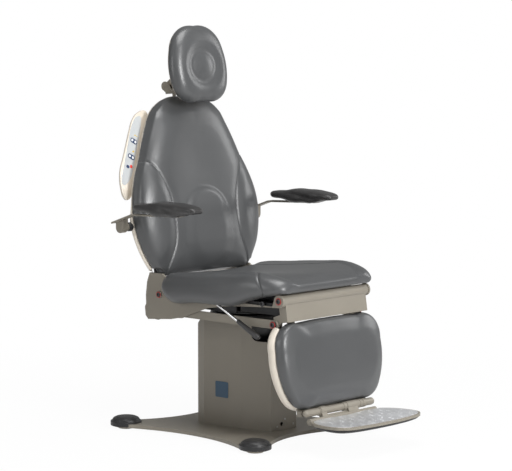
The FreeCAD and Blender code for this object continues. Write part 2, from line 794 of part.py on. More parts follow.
def key_solid(shares, length, width, turn, rocks):
    """A round-ended key on the right pod; one that rocks has a round rib under its middle."""
    front = pod_front - keypad_thick - key_proud
    half = (length - width) / 2
    core = box(-half, half, front, front + key_thick, -width / 2, width / 2)
    ends = [rod("y", front, front + key_thick, s * half, 0, width / 2) for s in (1, -1)]
    key = whole(core, *ends)
    if rocks:
        reach = width / 2 - rib_inset
        key = whole(key, rod("z", -reach, reach, 0, rib_v, rib_r))
    key.rotate(V(0, 0, 0), V(0, 1, 0), turn)
    key.translate(key_place(shares))
    return key


def key_room(shares, length, width, turn, rocks):
    """The room round a key, deep enough for its travel."""
    front = pod_front - keypad_thick - overrun
    wide = width / 2 + key_gap
    half = (length - width) / 2
    deep = pod_front + key_pocket
    core = box(-half, half, front, deep, -wide, wide)
    ends = [rod("y", front, deep, s * half, 0, wide) for s in (1, -1)]
    room = whole(core, *ends)
    if rocks:
        reach = width / 2 - rib_inset / 2
        room = whole(room, rod("z", -reach, reach, 0, rib_v, rib_r + key_gap))
    room.rotate(V(0, 0, 0), V(0, 1, 0), turn)
    room.translate(key_place(shares))
    return room


def pod_wire(depth, draft):
    """The right pod's outline at a depth, its outer side drawn in by a share of the width."""
    shares = [(x - draft, z) for x, z in pod_outer_shares] + pod_inner_shares
    points = [V(-x * back_half_width, depth, back_bottom + z * back_height) for x, z in shares]
    return Part.makePolygon(points + points[:1])


def make_back():
    frame = (back_half_width, back_bottom, back_height)
    cushion = crowned(back_shares, *frame, back_stations)
    add("back_cushion", lean_back(side_relief_cut(cushion)))
    outer, shell = shell_dish(back_shares, *frame, shell_stations)
    spine_rear = back_face + move_gap + frame_sheet
    bosses = [rod("y", spine_rear, shell_stations[-1][0] - shell_wall / 2, x,
                  back_bottom + share * back_height, boss_r)
              for x in (-boss_x, boss_x) for share in boss_shares]
    shell = side_relief_cut(whole(shell, *bosses))
    slot_low = back_bottom - overrun
    slot_x0 = bracket_inner - notch_half
    slot_x1 = bracket_outer + notch_half
    slot = box(slot_x0, slot_x1, back_face - overrun, bracket_depth + notch_half, slot_low,
               2 * cross_low - back_bottom)
    shell = shell.cut(slot).cut(mirrored(slot))
    hole = rod("x", -collar_end, collar_end, arm_axis_v, arm_axis_u, collar_r + move_gap)
    shell = shell.cut(hole)
    stem_hole = box(-stem_half_x - overrun, stem_half_x + overrun, stem_v - stem_half_v - overrun,
                    stem_v + stem_half_v + overrun, guide_high, back_top + overrun)
    add("back_shell", lean_back(shell.cut(stem_hole)))
    keys = {
        "back_key": (back_key_shares, twin_key_length, twin_key_width, twin_key_turn, True),
        "lift_key": (lift_key_shares, twin_key_length, twin_key_width, twin_key_turn, True),
        "return_key": (return_key_shares, small_key_length, small_key_width, twin_key_turn,
                       False)}
    pod = Part.makeLoft([pod_wire(pod_front, 0), pod_wire(pod_front + pod_rim, 0),
                         pod_wire(pod_front + pod_thick, pod_draft_share)], True, True)
    face = [(-x * back_half_width, back_bottom + z * back_height) for x, z in keypad_shares]
    keypad = sheet_xz(face, pod_front - keypad_thick, pod_front)
    pod = pod.cut(outer)
    for size in keys.values():
        room = key_room(*size)
        pod = pod.cut(room)
        keypad = keypad.cut(room)
    pod = max(pod.Solids, key=lambda s: s.Volume)
    for side, place in (("right", lambda s: s), ("left", mirrored)):
        add("pod_" + side, lean_back(place(pod)))
        add("keypad_" + side, lean_back(place(keypad)))
        for name, size in keys.items():
            add(name + "_" + side, lean_back(place(key_solid(*size))))


# Armrests, drawn where they stand: the shaft turns in the back's cross tube
arm_hub_r = 15.0
arm_hub_x0 = 334.0
arm_hub_x1 = 358.0
arm_neck_r = 13.0
arm_shaft_in = 225.0
arm_bar_x0 = 341.0
arm_bar_x1 = 371.0
arm_bar_thick = 6.0
arm_bar_rear_dy = 30.0
arm_bar_rear_dz = 19.0
arm_bend_dy = -68.0
arm_bend_dz = 53.0
arm_front_dy = -299.0
arm_front_dz = 63.0
arm_hub_half = 19.0
pad_x = 356.0
pad_half_width = 37.0
pad_length = 298.0
pad_rear_dy = -86.0
pad_low_dz = 57.0
pad_height = 47.0
# Each station: share of the length from the rear, then half width, underside and top
pad_station_shares = [
    (0.0, 0.45, 0.4, 0.56), (0.02, 0.66, 0.28, 0.66), (0.1, 0.86, 0.2, 0.75),
    (0.3, 0.97, 0.04, 0.9), (0.55, 1.0, 0.0, 1.0), (0.75, 0.98, 0.1, 0.98),
    (0.9, 0.88, 0.3, 0.84), (0.97, 0.74, 0.34, 0.72), (1.0, 0.5, 0.42, 0.6)]


def pad_section(share, y0, z0):
    """One cross-section of the armrest pad: a flat-bottomed oval."""
    along, wide, under, over = share
    y = y0 - along * pad_length
    w = wide * pad_half_width
    low = z0 + under * pad_height
    high = z0 + over * pad_height
    mid = (low + high) / 2
    corner = w * 0.62
    points = [(corner, low), (w * 0.93, low + (mid - low) * 0.35), (w, mid),
              (w * 0.93, high - (high - mid) * 0.35), (corner, high - (high - mid) * 0.08),
              (w * 0.3, high), (0, high)]
    edges = [Part.makeLine(V(pad_x - corner, y, low), V(pad_x + corner, y, low))]
    for i in (0, 2, 4):
        a, b, c = [V(pad_x + x, y, z) for x, z in points[i:i + 3]]
        edges.append(Part.Arc(a, b, c).toShape())
    for i in (4, 2, 0):
        c, b, a = [V(pad_x - x, y, z) for x, z in points[i:i + 3]]
        edges.append(Part.Arc(a, b, c).toShape())
    return Part.Wire(edges)


def make_arms():
    dy, dz = turned_point(arm_axis_v, arm_axis_u, back_lean)
    y = back_pivot_y + dy
    z = back_pivot_z + dz
    top = [(y + arm_bar_rear_dy, z + arm_bar_rear_dz), (y + arm_bend_dy, z + arm_bend_dz),
           (y + arm_front_dy, z + arm_front_dz)]
    under = [(py, pz - arm_bar_thick) for py, pz in reversed(top)]
    bar = sheet_yz(top + under, arm_bar_x0, arm_bar_x1)
    block = box(arm_hub_x0, arm_hub_x1, y - arm_hub_half, y + arm_hub_half, z,
                z + arm_bar_rear_dz + arm_hub_half)
    above = sheet_yz(top + [(y + arm_front_dy, z + 2 * arm_bend_dz),
                            (y + arm_bar_rear_dy, z + 2 * arm_bend_dz)], arm_hub_x0, arm_hub_x1)
    hub = rod("x", arm_hub_x0, arm_hub_x1, y, z, arm_hub_half)
    neck = rod("x", collar_end + move_gap, arm_hub_x0, y, z, arm_neck_r)
    shaft = rod("x", arm_shaft_in, arm_hub_x0, y, z, arm_shaft_r)
    arm = whole(block.cut(above), hub.cut(above), neck, shaft, bar)
    add("arm_left", arm)
    add("arm_right", mirrored(arm))
    pad = loft([pad_section(s, y + pad_rear_dy, z + pad_low_dz) for s in pad_station_shares])
    pad = max(pad.cut(bar).Solids, key=lambda s: s.Volume)
    add("pad_left", pad)
    add("pad_right", mirrored(pad))


# Headrest, drawn on the upright back
stem_depth = 220.0
stem_rise = 22.0
stem_bottom = back_top - stem_depth
stem_top = back_top + stem_rise
knuckle_v = 58.0
knuckle_rise = 45.0
knuckle_u = back_top + knuckle_rise
knuckle_r = 17.0
cheek_inner = 9.0
cheek_thick = 6.0
link_half = 8.6
link_r = 11.0
tilt_v = -42.0
tilt_rise = 100.0
tilt_u = back_top + tilt_rise
head_drop = 33.0
head_low = back_top - head_drop
head_crown = -140.0
head_shares = [(0.25, 0.0), (0.68, 0.035), (0.92, 0.18), (1.0, 0.41), (0.91, 0.7), (0.62, 0.93),
               (0.0, 1.0)]
head_stations = [(-88.0, 7.0), (-94.0, 1.0), (-104.0, 0.0), (-116.0, 3.0), (-128.0, 13.0),
                 (-136.0, 30.0), (-140.0, 52.0)]
head_shell_stations = [(-88.0, 3.0), (-79.0, 2.0), (-73.0, 9.0), (-67.0, 34.0)]
head_shell_wall = 3.0
head_dish_r = 60.0
head_dish_tube = 17.0
head_dish_tall = 0.95
head_dish_share = 0.456
head_dish_depth = 9.0
head_plate_x = 34.0
head_plate_u = 32.0
bracket_sheet = 4.0


def stretched_ring(v, u, ring, tube, tall):
    """A ring about the Y axis, stretched along Z, that presses the groove into the headrest."""
    solid = Part.makeTorus(ring, tube, V(0, 0, 0), V(0, 1, 0))
    grow = FreeCAD.Matrix()
    grow.scale(1.0, 1.0, tall)
    solid = solid.transformGeometry(grow)
    solid.translate(V(0, v, u))
    return solid


def make_headrest():
    stem = box(-stem_half_x, stem_half_x, stem_v - stem_half_v, stem_v + stem_half_v, stem_bottom,
               stem_top)
    cheek_outer = cheek_inner + cheek_thick
    yoke = box(-cheek_outer, cheek_outer, stem_v - stem_half_v, knuckle_v, stem_top - cheek_thick,
               stem_top + cheek_thick)
    cheek = whole(rod("x", cheek_inner, cheek_outer, knuckle_v, knuckle_u, knuckle_r),
                  sheet_yz([(stem_v - stem_half_v, stem_top), (knuckle_v, stem_top),
                            (knuckle_v + knuckle_r * 0.9, knuckle_u - knuckle_r * 0.4),
                            (knuckle_v - knuckle_r * 0.9, knuckle_u + knuckle_r * 0.4)],
                           cheek_inner, cheek_outer))
    pin = rod("x", -cheek_outer, cheek_outer, knuckle_v, knuckle_u, head_pin_r)
    clear = rod("x", -cheek_inner, cheek_inner, knuckle_v, knuckle_u, link_r + 3 * move_gap)
    stem_head = whole(stem, yoke.cut(clear), cheek, mirrored(cheek))
    add("headrest_stem", lean_back(whole(stem_head, pin)))
    run_v = tilt_v - knuckle_v
    run_u = tilt_u - knuckle_u
    run = math.hypot(run_v, run_u)
    nv = -run_u / run * link_r * 0.8
    nu = run_v / run * link_r * 0.8
    link = whole(sheet_yz([(knuckle_v + nv, knuckle_u + nu), (tilt_v + nv, tilt_u + nu),
                           (tilt_v - nv, tilt_u - nu), (knuckle_v - nv, knuckle_u - nu)],
                          -link_half, link_half),
                 rod("x", -link_half, link_half, knuckle_v, knuckle_u, link_r),
                 rod("x", -link_half, link_half, tilt_v, tilt_u, link_r))
    for v, u in ((knuckle_v, knuckle_u), (tilt_v, tilt_u)):
        link = link.cut(rod("x", -link_half - overrun, link_half + overrun, v, u,
                            head_pin_r + running))
    add("headrest_link", lean_back(link))
    seat_v = head_shell_stations[-1][0]
    lug = whole(rod("x", cheek_inner, cheek_outer, tilt_v, tilt_u, link_r),
                box(cheek_inner, cheek_outer, seat_v, tilt_v, tilt_u - link_r, tilt_u + link_r))
    plate = box(-head_plate_x, head_plate_x, seat_v, seat_v + bracket_sheet,
                tilt_u - head_plate_u, tilt_u + head_plate_u)
    plate = plate.cut(rod("x", -cheek_inner, cheek_inner, tilt_v, tilt_u, link_r + move_gap))
    pin = rod("x", -cheek_outer, cheek_outer, tilt_v, tilt_u, head_pin_r)
    add("headrest_bracket", lean_back(whole(plate, lug, mirrored(lug), pin)))
    frame = (head_half_width, head_low, head_height)
    cushion = crowned(head_shares, *frame, head_stations)
    middle = head_low + head_height * head_dish_share
    groove_v = head_crown - head_dish_tube + head_dish_depth
    cushion = cushion.cut(stretched_ring(groove_v, middle, head_dish_r, head_dish_tube,
                                         head_dish_tall))
    add("headrest_cushion", lean_back(cushion))
    outer = crowned(head_shares, *frame, head_shell_stations)
    wall = head_shell_wall
    first = head_shell_stations[0]
    last = head_shell_stations[-1]
    cavity = [(first[0] - overrun, first[1] + wall)]
    cavity += [(d, i + wall) for d, i in head_shell_stations[:-1]]
    cavity += [(last[0] - wall, last[1] + 2 * wall)]
    add("headrest_shell", lean_back(outer.cut(crowned(head_shares, *frame, cavity))))


# Legrest, drawn upright from the ear pivot: Y is rearward, Z is up
tube_r = 20.0
tube_gap = 1.5
panel_gap = 1.0
panel_half = bar_inner - panel_gap
panel_face = -13.5
panel_thick = 3.0
panel_bottom = -74.0
flange_rear = 18.0
leg_arm_x0 = 146.0
leg_arm_x1 = 180.0
leg_arm_v = 12.0
leg_arm_thick = 6.0
tab_r = 14.0
rod_r = 13.0
rod_v = -16.8
rod_gap = 14.0
rod_u = leg_cushion_top - leg_cushion_height - rod_gap
leg_arm_below = 10.0
leg_arm_bottom = rod_u - leg_arm_below
rod_half = 184.0
lower_rod_r = 11.0
lower_rod_half = 175.0
lower_rod_v = -17.0
lower_rod_u = -28.0
link_head = 6.0
leg_shares = [(0.5, 0.0), (0.74, 0.03), (0.88, 0.16), (0.985, 0.4), (1.0, 0.68), (0.93, 0.9),
              (0.6, 0.985), (0.3, 0.999), (0.0, 1.0)]
leg_stations = [(12.0, 5.0), (4.0, 0.0), (-8.0, 2.0), (-18.0, 4.0), (-27.0, 14.0),
                (-34.0, 36.0), (-38.0, 70.0)]
leg_shell_stations = [(12.0, 2.0), (27.0, -3.0), (42.0, 0.0), (52.0, 16.0), (57.0, 44.0)]
tab_notch = 2.0
tab_notch_low = -97.0


def make_legrest():
    tab_v, tab_u = unleant_point(link_dy, link_dz, leg_lean)
    end = side_plate_inner - tube_gap
    tube = rod("x", -end, end, 0, 0, tube_r)
    bore = rod("x", -end - overrun, end + overrun, 0, 0, pivot_pin_r + running)
    back_of_panel = panel_face + panel_thick
    panel = box(-panel_half, panel_half, panel_face, back_of_panel, panel_bottom, 0)
    shelf = box(-panel_half, panel_half, panel_face, leg_arm_v + leg_arm_thick, panel_bottom,
                panel_bottom + panel_thick)
    flange = box(panel_half - panel_thick, panel_half, panel_face, flange_rear, panel_bottom,
                 -tube_r / 2)
    tab = whole(rod("x", bracket_inner, panel_half, tab_v, tab_u, tab_r),
                sheet_yz([(panel_face, panel_bottom), (panel_face, -2 * tube_r),
                          (tab_v + tab_r * 0.4, -2.6 * tube_r),
                          (tab_v + tab_r * 0.9, tab_u), (tab_v - tab_r * 0.6, tab_u - tab_r * 0.6),
                          (tab_v - 2 * tab_r, panel_bottom)], bracket_inner, panel_half))
    tab = tab.cut(rod("x", bracket_inner - overrun, panel_half + overrun, tab_v, tab_u,
                      pivot_pin_r))
    arm = box(leg_arm_x0, leg_arm_x1, leg_arm_v, leg_arm_v + leg_arm_thick, leg_arm_bottom,
              panel_bottom + panel_thick)
    saddle = box(leg_arm_x0, leg_arm_x1, rod_v + rod_r * 0.7, leg_arm_v + leg_arm_thick,
                 leg_arm_bottom, rod_u + rod_r * 0.7)
    cross = box(-leg_arm_x1, leg_arm_x1, leg_arm_v, leg_arm_v + leg_arm_thick, leg_arm_bottom,
                rod_u + 2.2 * rod_r)
    pieces = [panel, shelf, flange, mirrored(flange), tab, mirrored(tab), arm, mirrored(arm),
              saddle, mirrored(saddle), cross]
    frame = whole(tube, *pieces).cut(bore)
    frame = frame.cut(rod("x", -rod_half, rod_half, rod_v, rod_u, rod_r))
    add("legrest_frame", lean_leg(frame))
    shank = rod("x", bracket_inner, bar_outer + move_gap, tab_v, tab_u, pivot_pin_r)
    head = rod("x", bar_outer + move_gap, bar_outer + move_gap + link_head, tab_v, tab_u,
               pivot_head_r)
    add("link_bolts", lean_leg(pair(whole(shank, head))))
    size = (leg_half_width, leg_cushion_top - leg_cushion_height, leg_cushion_height)
    cushion = crowned(leg_shares, *size, leg_stations)
    add("legrest_cushion", lean_leg(cushion))
    outer, shell = shell_dish(leg_shares, *size, leg_shell_stations)
    wide = bar_outer + link_head + tab_notch
    notch = box(-wide, wide, 0, leg_shell_stations[-1][0] - shell_wall, tab_notch_low, 0)
    high = box(-wide, wide, 0, 2 * tab_v, panel_bottom + tab_notch_low / 10, 0)
    low = box(-leg_arm_x1 - tab_notch, leg_arm_x1 + tab_notch, 0,
              leg_arm_v + leg_arm_thick + tab_notch, 2 * rod_u, rod_u + 2.5 * rod_r)
    shell = shell.cut(notch).cut(high).cut(low)
    add("legrest_shell", lean_leg(shell))


# Footrest hinge: rod with collars on the legrest, knuckles and lower rod on the footplate
collar_thick = 5.0
rod_collar_r = 15.0
knuckle_ring_r = 16.0
knuckles = [(-106.0, -80.0), (32.0, 84.0)]
end_collar = 112.0
link_web = 4.0
link_web_v = -9.5
link_web_u = -13.0
tray_shares = [(0.8, 0.0), (0.91, 0.12), (0.98, 0.33), (1.0, 0.56), (0.97, 0.74),
               (0.87, 0.86), (0.66, 0.94), (0.35, 0.985), (0.0, 1.0)]
tray_half_width = 223.0
tray_depth = 202.0
tray_rear = -31.0
tray_top = -22.0
tray_rim = 10.0
tread_inset = 7.0
tread_sink = 2.0
tread_thick = 3.0
# Each station: how far under the tray, and how far in from its outline
under_stations = [(0.0, 4.0), (8.0, 9.0), (14.0, 24.0), (18.0, 52.0)]


def tray_outline(z, inset):
    """The D-shaped outline of the footplate at height z, drawn in by inset."""
    sx = (tray_half_width - inset) / tray_half_width
    near = tray_rear - inset
    deep = tray_depth - 2 * inset

    def place(share, side):
        return V(side * share[0] * tray_half_width * sx, near - share[1] * deep, z)

    edges = [Part.makeLine(place(tray_shares[0], -1), place(tray_shares[0], 1))]
    for side, order in ((1, 1), (-1, -1)):
        runs = [tray_shares[i:i + 3] for i in range(0, len(tray_shares) - 2, 2)]
        for run in runs[::order]:
            a, b, c = [place(p, side) for p in run[::order]]
            edges.append(Part.Arc(a, b, c).toShape())
    return Part.Wire(edges)


def slab(z0, z1, inset):
    """A flat D-shaped slab."""
    return Part.Face(tray_outline(z0, inset)).extrude(V(0, 0, z1 - z0))


def place_footplate(shape):
    """Move a piece drawn level round the upper rod to its place, with its front tilted up."""
    dy, dz = turned_point(rod_v, rod_u, leg_lean)
    moved = shape.copy()
    moved.translate(V(0, ear_pivot_y + dy, ear_pivot_z + dz))
    return leant(moved, ear_pivot_y + dy, ear_pivot_z + dz, footplate_tilt)


def make_footrest():
    bar = rod("x", -rod_half, rod_half, rod_v, rod_u, rod_r)
    places = [k[0] - collar_thick - move_gap for k in knuckles]
    places += [k[1] + move_gap for k in knuckles]
    places += [end_collar]
    collars = [rod("x", p, p + collar_thick, rod_v, rod_u, rod_collar_r) for p in places]
    add("footrest_rod", lean_leg(whole(bar, *collars)))
    bore = rod("x", -rod_half - overrun, rod_half + overrun, 0, 0, rod_r + running)
    lower = rod("x", -lower_rod_half, lower_rod_half, lower_rod_v, lower_rod_u, lower_rod_r)
    rings = []
    for x0, x1 in knuckles:
        rings.append(rod("x", x0, x1, 0, 0, knuckle_ring_r))
        rings.append(sheet_yz([(knuckle_ring_r * 0.6, 0), (lower_rod_v + lower_rod_r * 0.7,
                                                           lower_rod_u),
                               (lower_rod_v - lower_rod_r * 0.7, lower_rod_u),
                               (-knuckle_ring_r * 0.9, 0)], x0, x1))
    hinge = whole(lower, *rings).cut(bore)
    tray = slab(tray_top - tray_rim, tray_top, 0)
    tray = tray.cut(slab(tray_top - tread_sink, tray_top + overrun, tread_inset))
    under_top = tray_top - tray_rim
    under = loft([tray_outline(under_top - low, inset) for low, inset in under_stations])
    ledge = box(-lower_rod_half, lower_rod_half, tray_rear - under_stations[0][1], lower_rod_v,
                under_top - lower_rod_r / 2, under_top)
    web = sheet_yz([(lower_rod_v, lower_rod_u), (lower_rod_v + link_web, lower_rod_u),
                    (link_web_v + link_web, link_web_u - link_web / 2),
                    (link_web_v, link_web_u)], knuckles[0][1], knuckles[1][0])
    hinge = whole(hinge, ledge, web).cut(under)
    add("footplate_hinge", place_footplate(hinge))
    add("footplate_tray", place_footplate(tray))
    add("footplate_tread", place_footplate(slab(tray_top - tread_sink,
                                                tray_top - tread_sink + tread_thick,
                                                tread_inset + move_gap)))
    add("footplate_underside", place_footplate(under))


make_base()
make_cover()
make_mast()
make_swivel()
make_chassis()
make_seat()
make_lever()
add("push_bars", pair(push_bar()))
make_back_frame()
make_back()
make_arms()
make_headrest()
make_legrest()
make_footrest()

os.makedirs("parts", exist_ok=True)
for name, shape in parts.items():
    good = shape.isValid()
    solids = len(shape.Solids)
    bb = shape.BoundBox
    print(f"{name:22s} solids {solids} valid {good} volume {shape.Volume / 1000:10.1f} cm3  "
          f"x {bb.XMin:7.1f} {bb.XMax:7.1f}  y {bb.YMin:7.1f} {bb.YMax:7.1f}  "
          f"z {bb.ZMin:7.1f} {bb.ZMax:7.1f}")
    shape.exportStep("parts/" + name + ".step")
print(len(parts), "nodes")
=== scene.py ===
# %% [markdown]
# # A powered examination chair, dressed in Blender
#
# The CAD model already holds every size and every moving body. This lesson puts the real
# surfaces over it: sewn vinyl cushions, moulded shells, painted sheet metal, chrome and
# rubber. Each step says what the piece is on the real chair and why it is made the way it is.

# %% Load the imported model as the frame
import json
import math

import bmesh
import bpy
import numpy as np
from mathutils import Matrix, Vector
from mathutils.bvhtree import BVHTree

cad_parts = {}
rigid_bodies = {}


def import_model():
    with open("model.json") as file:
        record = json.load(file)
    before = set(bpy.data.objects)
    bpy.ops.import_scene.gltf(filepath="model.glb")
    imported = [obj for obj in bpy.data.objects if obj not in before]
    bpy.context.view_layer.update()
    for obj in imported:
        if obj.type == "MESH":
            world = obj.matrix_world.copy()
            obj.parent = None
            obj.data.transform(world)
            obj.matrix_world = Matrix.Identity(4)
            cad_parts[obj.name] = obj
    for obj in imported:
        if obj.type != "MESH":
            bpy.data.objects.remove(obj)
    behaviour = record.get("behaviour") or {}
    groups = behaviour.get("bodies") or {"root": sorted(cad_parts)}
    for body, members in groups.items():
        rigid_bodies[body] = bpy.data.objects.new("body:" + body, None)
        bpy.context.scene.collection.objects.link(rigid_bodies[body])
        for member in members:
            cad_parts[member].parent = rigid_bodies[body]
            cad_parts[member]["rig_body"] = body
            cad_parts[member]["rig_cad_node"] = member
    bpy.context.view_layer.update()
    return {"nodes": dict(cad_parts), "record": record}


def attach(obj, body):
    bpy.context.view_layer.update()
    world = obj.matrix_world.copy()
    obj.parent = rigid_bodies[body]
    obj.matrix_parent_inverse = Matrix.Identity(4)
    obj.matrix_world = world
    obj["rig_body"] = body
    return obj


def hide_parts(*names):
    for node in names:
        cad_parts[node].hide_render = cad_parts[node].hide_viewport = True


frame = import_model()
nodes = frame["nodes"]
scene = bpy.context.scene


def linked(name, data):
    """An object of some data, in the scene."""
    thing = bpy.data.objects.new(name, data)
    scene.collection.objects.link(thing)
    return thing


# %% [markdown]
# ## The camera
#
# A product photograph like this one is taken from far away with a long lens, so that the
# verticals stay nearly parallel. The camera stands a little under nine metres off, at the
# front right corner of the chair, somewhat above the headrest, and looks slightly down.

# %% Camera
lens = bpy.data.cameras.new("studio_camera")
lens.lens = 173.27
lens.sensor_width = 36
camera = linked("studio_camera", lens)
camera.location = (-6.3932, -5.8955, 1.6277)
camera.rotation_euler = Vector((0.7341, 0.6707, -0.1065)).to_track_quat("-Z", "Y").to_euler()
scene.camera = camera
scene.view_settings.view_transform = "Standard"

# %% [markdown]
# ## Two leaning places
#
# The back leans 9.8 degrees and the legrest 8.4 degrees, and both are easiest to think about
# upright. A matrix for each carries what is drawn upright to where it stands. In these
# places X is across, Y is towards the rear and Z runs up the cushion, in metres.

# %% Places
mm = 0.001
UP = (0, 0, 1)
sides = ((-1, "right"), (1, "left"))


def leaning(pivot, angle):
    """A place at a pivot (y, z) whose own Z axis leans back by the angle."""
    return Matrix.Translation((0, *pivot)) @ Matrix.Rotation(math.radians(-angle), 4, "X")


back_pivot, back_lean = (0.197, 0.490), 9.8
leg_pivot = (-0.368, 0.515)
rod_place = (-0.44159, 0.13164)
BACK = leaning(back_pivot, back_lean)
LEG = leaning(leg_pivot, 8.4)
FOOT = leaning(rod_place, 0.7)

# %% [markdown]
# ## Shared effects
#
# Real surfaces share a few effects: a fine grain that breaks up highlights, a slow drift of
# colour over broad patches, dust that settles on what faces up, and the shade in the crease
# of a sewn seam, painted into the colour as a dark line. Each is one node group with named
# sockets, so every finish can use it with its own values. They read Object coordinates or
# the piece's own attribute, so a pattern stays on its piece when the piece moves.

# %% Node group helpers


def new_group(name, inputs, outputs):
    """A shader group with named sockets; gives the group and its input and output nodes."""
    group = bpy.data.node_groups.new(name, "ShaderNodeTree")
    for label, kind, value in inputs:
        socket = group.interface.new_socket(name=label, in_out="INPUT", socket_type=kind)
        socket.default_value = value
    for label, kind in outputs:
        group.interface.new_socket(name=label, in_out="OUTPUT", socket_type=kind)
    return group, group.nodes.new("NodeGroupInput"), group.nodes.new("NodeGroupOutput")


def add_node(tree, kind, group=None, **values):
    """A node with values for its inputs; an underscore in a name stands for a space."""
    node = tree.nodes.new("ShaderNode" + kind)
    if group:
        node.node_tree = group
    for socket, value in values.items():
        node.inputs[socket.replace("_", " ")].default_value = value
    return node


def join(tree, *pairs):
    """Link output to input for each pair of sockets."""
    for out, into in pairs:
        tree.links.new(out, into)


def maths(tree, operation, first, second=0.0):
    """A Math node; each value is a number or a socket."""
    node = add_node(tree, "Math")
    node.operation = operation
    for slot_index, value in enumerate((first, second)):
        if isinstance(value, bpy.types.NodeSocket):
            tree.links.new(value, node.inputs[slot_index])
        else:
            node.inputs[slot_index].default_value = value
    return node.outputs[0]


# %% Grain: small cells with a finer noise on them
FLOAT, COLOUR = "NodeSocketFloat", "NodeSocketColor"
grain, g_in, g_out = new_group(
    "surface_grain",
    [("Cell Scale", FLOAT, 900.0), ("Fine Scale", FLOAT, 2600.0), ("Fine Share", FLOAT, 0.35)],
    [("Height", FLOAT)])
g_at = add_node(grain, "TexCoord")
g_cells = add_node(grain, "TexVoronoi")
g_cells.feature = "SMOOTH_F1"
g_fine = add_node(grain, "TexNoise", Detail=3)
join(grain, (g_at.outputs["Object"], g_cells.inputs["Vector"]),
     (g_at.outputs["Object"], g_fine.inputs["Vector"]),
     (g_in.outputs["Cell Scale"], g_cells.inputs["Scale"]),
     (g_in.outputs["Fine Scale"], g_fine.inputs["Scale"]))
g_small = maths(grain, "MULTIPLY", g_fine.outputs["Fac"], g_in.outputs["Fine Share"])
join(grain, (maths(grain, "ADD", g_cells.outputs["Distance"], g_small), g_out.inputs["Height"]))

# %% Drift: a colour that wanders a little, and a value that wanders with it
drift, d_in, d_out = new_group(
    "slow_drift",
    [("Color", COLOUR, (0.5, 0.5, 0.5, 1)), ("Scale", FLOAT, 6.0), ("Amount", FLOAT, 0.05),
     ("Roughness", FLOAT, 0.4), ("Roughness Amount", FLOAT, 0.05)],
    [("Color", COLOUR), ("Roughness", FLOAT)])
d_at = add_node(drift, "TexCoord")
d_noise = add_node(drift, "TexNoise", Detail=4)
join(drift, (d_at.outputs["Object"], d_noise.inputs["Vector"]),
     (d_in.outputs["Scale"], d_noise.inputs["Scale"]))
d_swing = maths(drift, "MULTIPLY", maths(drift, "SUBTRACT", d_noise.outputs["Fac"], 0.5), 4.0)
d_gain = maths(drift, "ADD", maths(drift, "MULTIPLY", d_swing, d_in.outputs["Amount"]), 1.0)
d_scale = add_node(drift, "VectorMath")
d_scale.operation = "SCALE"
join(drift, (d_in.outputs["Color"], d_scale.inputs[0]), (d_gain, d_scale.inputs["Scale"]),
     (d_scale.outputs[0], d_out.inputs["Color"]))
d_rough = maths(drift, "MULTIPLY", d_swing, d_in.outputs["Roughness Amount"])
join(drift, (maths(drift, "ADD", d_in.outputs["Roughness"], d_rough), d_out.inputs["Roughness"]))

# %% Dust: pale where the surface faces up, in soft patches
dust, u_in, u_out = new_group(
    "settled_dust",
    [("Color", COLOUR, (0.5, 0.5, 0.5, 1)), ("Dust", COLOUR, (0.6, 0.58, 0.55, 1)),
     ("Amount", FLOAT, 0.15), ("Scale", FLOAT, 18.0)],
    [("Color", COLOUR)])
u_at = add_node(dust, "TexCoord")
u_noise = add_node(dust, "TexNoise", Detail=5)
u_way = add_node(dust, "NewGeometry")
u_split = add_node(dust, "SeparateXYZ")
join(dust, (u_at.outputs["Object"], u_noise.inputs["Vector"]),
     (u_in.outputs["Scale"], u_noise.inputs["Scale"]),
     (u_way.outputs["Normal"], u_split.inputs[0]))
u_up = maths(dust, "MULTIPLY", maths(dust, "MAXIMUM", u_split.outputs["Z"]),
             u_noise.outputs["Fac"])
u_patch = maths(dust, "MULTIPLY", u_up, u_in.outputs["Amount"])
u_mix = add_node(dust, "Mix")
u_mix.data_type = "RGBA"
join(dust, (u_patch, u_mix.inputs["Factor"]), (u_in.outputs["Color"], u_mix.inputs[6]),
     (u_in.outputs["Dust"], u_mix.inputs[7]), (u_mix.outputs[2], u_out.inputs["Color"]))

# %% Seam shade: a thin line of painted shade where the piece's own seam attribute passes through seam_zero
seam_zero = 100.0
seam_shade, s_in, s_out = new_group(
    "seam_painted_shade",
    [("Color", COLOUR, (0.5, 0.5, 0.5, 1)), ("Width", FLOAT, 1.3), ("Shade", FLOAT, 0.6)],
    [("Color", COLOUR), ("Mask", FLOAT)])
s_at = add_node(seam_shade, "Attribute")
s_at.attribute_name = "seam"
s_far = maths(seam_shade, "ABSOLUTE", maths(seam_shade, "SUBTRACT", s_at.outputs["Fac"], seam_zero))
s_widths = maths(seam_shade, "DIVIDE", s_far, s_in.outputs["Width"])
s_near = maths(seam_shade, "MAXIMUM", maths(seam_shade, "SUBTRACT", 1.0, s_widths))
# painted shade: within Width mm of the seam the colour darkens by up to Shade, where the crease would be
# in shade
s_dim = maths(seam_shade, "SUBTRACT", 1.0, maths(seam_shade, "MULTIPLY", s_near, s_in.outputs["Shade"]))
s_scale = add_node(seam_shade, "VectorMath")
s_scale.operation = "SCALE"
join(seam_shade, (s_in.outputs["Color"], s_scale.inputs[0]), (s_dim, s_scale.inputs["Scale"]),
     (s_scale.outputs[0], s_out.inputs["Color"]), (s_near, s_out.inputs["Mask"]))
print("groups:", [g.name for g in (grain, drift, dust, seam_shade)])

# %% [markdown]
# ## Finishes
#
# Every finish is a Principled BSDF with the shared groups in front of it. Numbers that are
# the same all over the surface, such as the specular level, sit on the shader itself. The
# helper takes the plain colour, adds drift and grain, and leaves the rest to the cell that
# needs something more.

# %% A finish with drift and grain


looks = {}


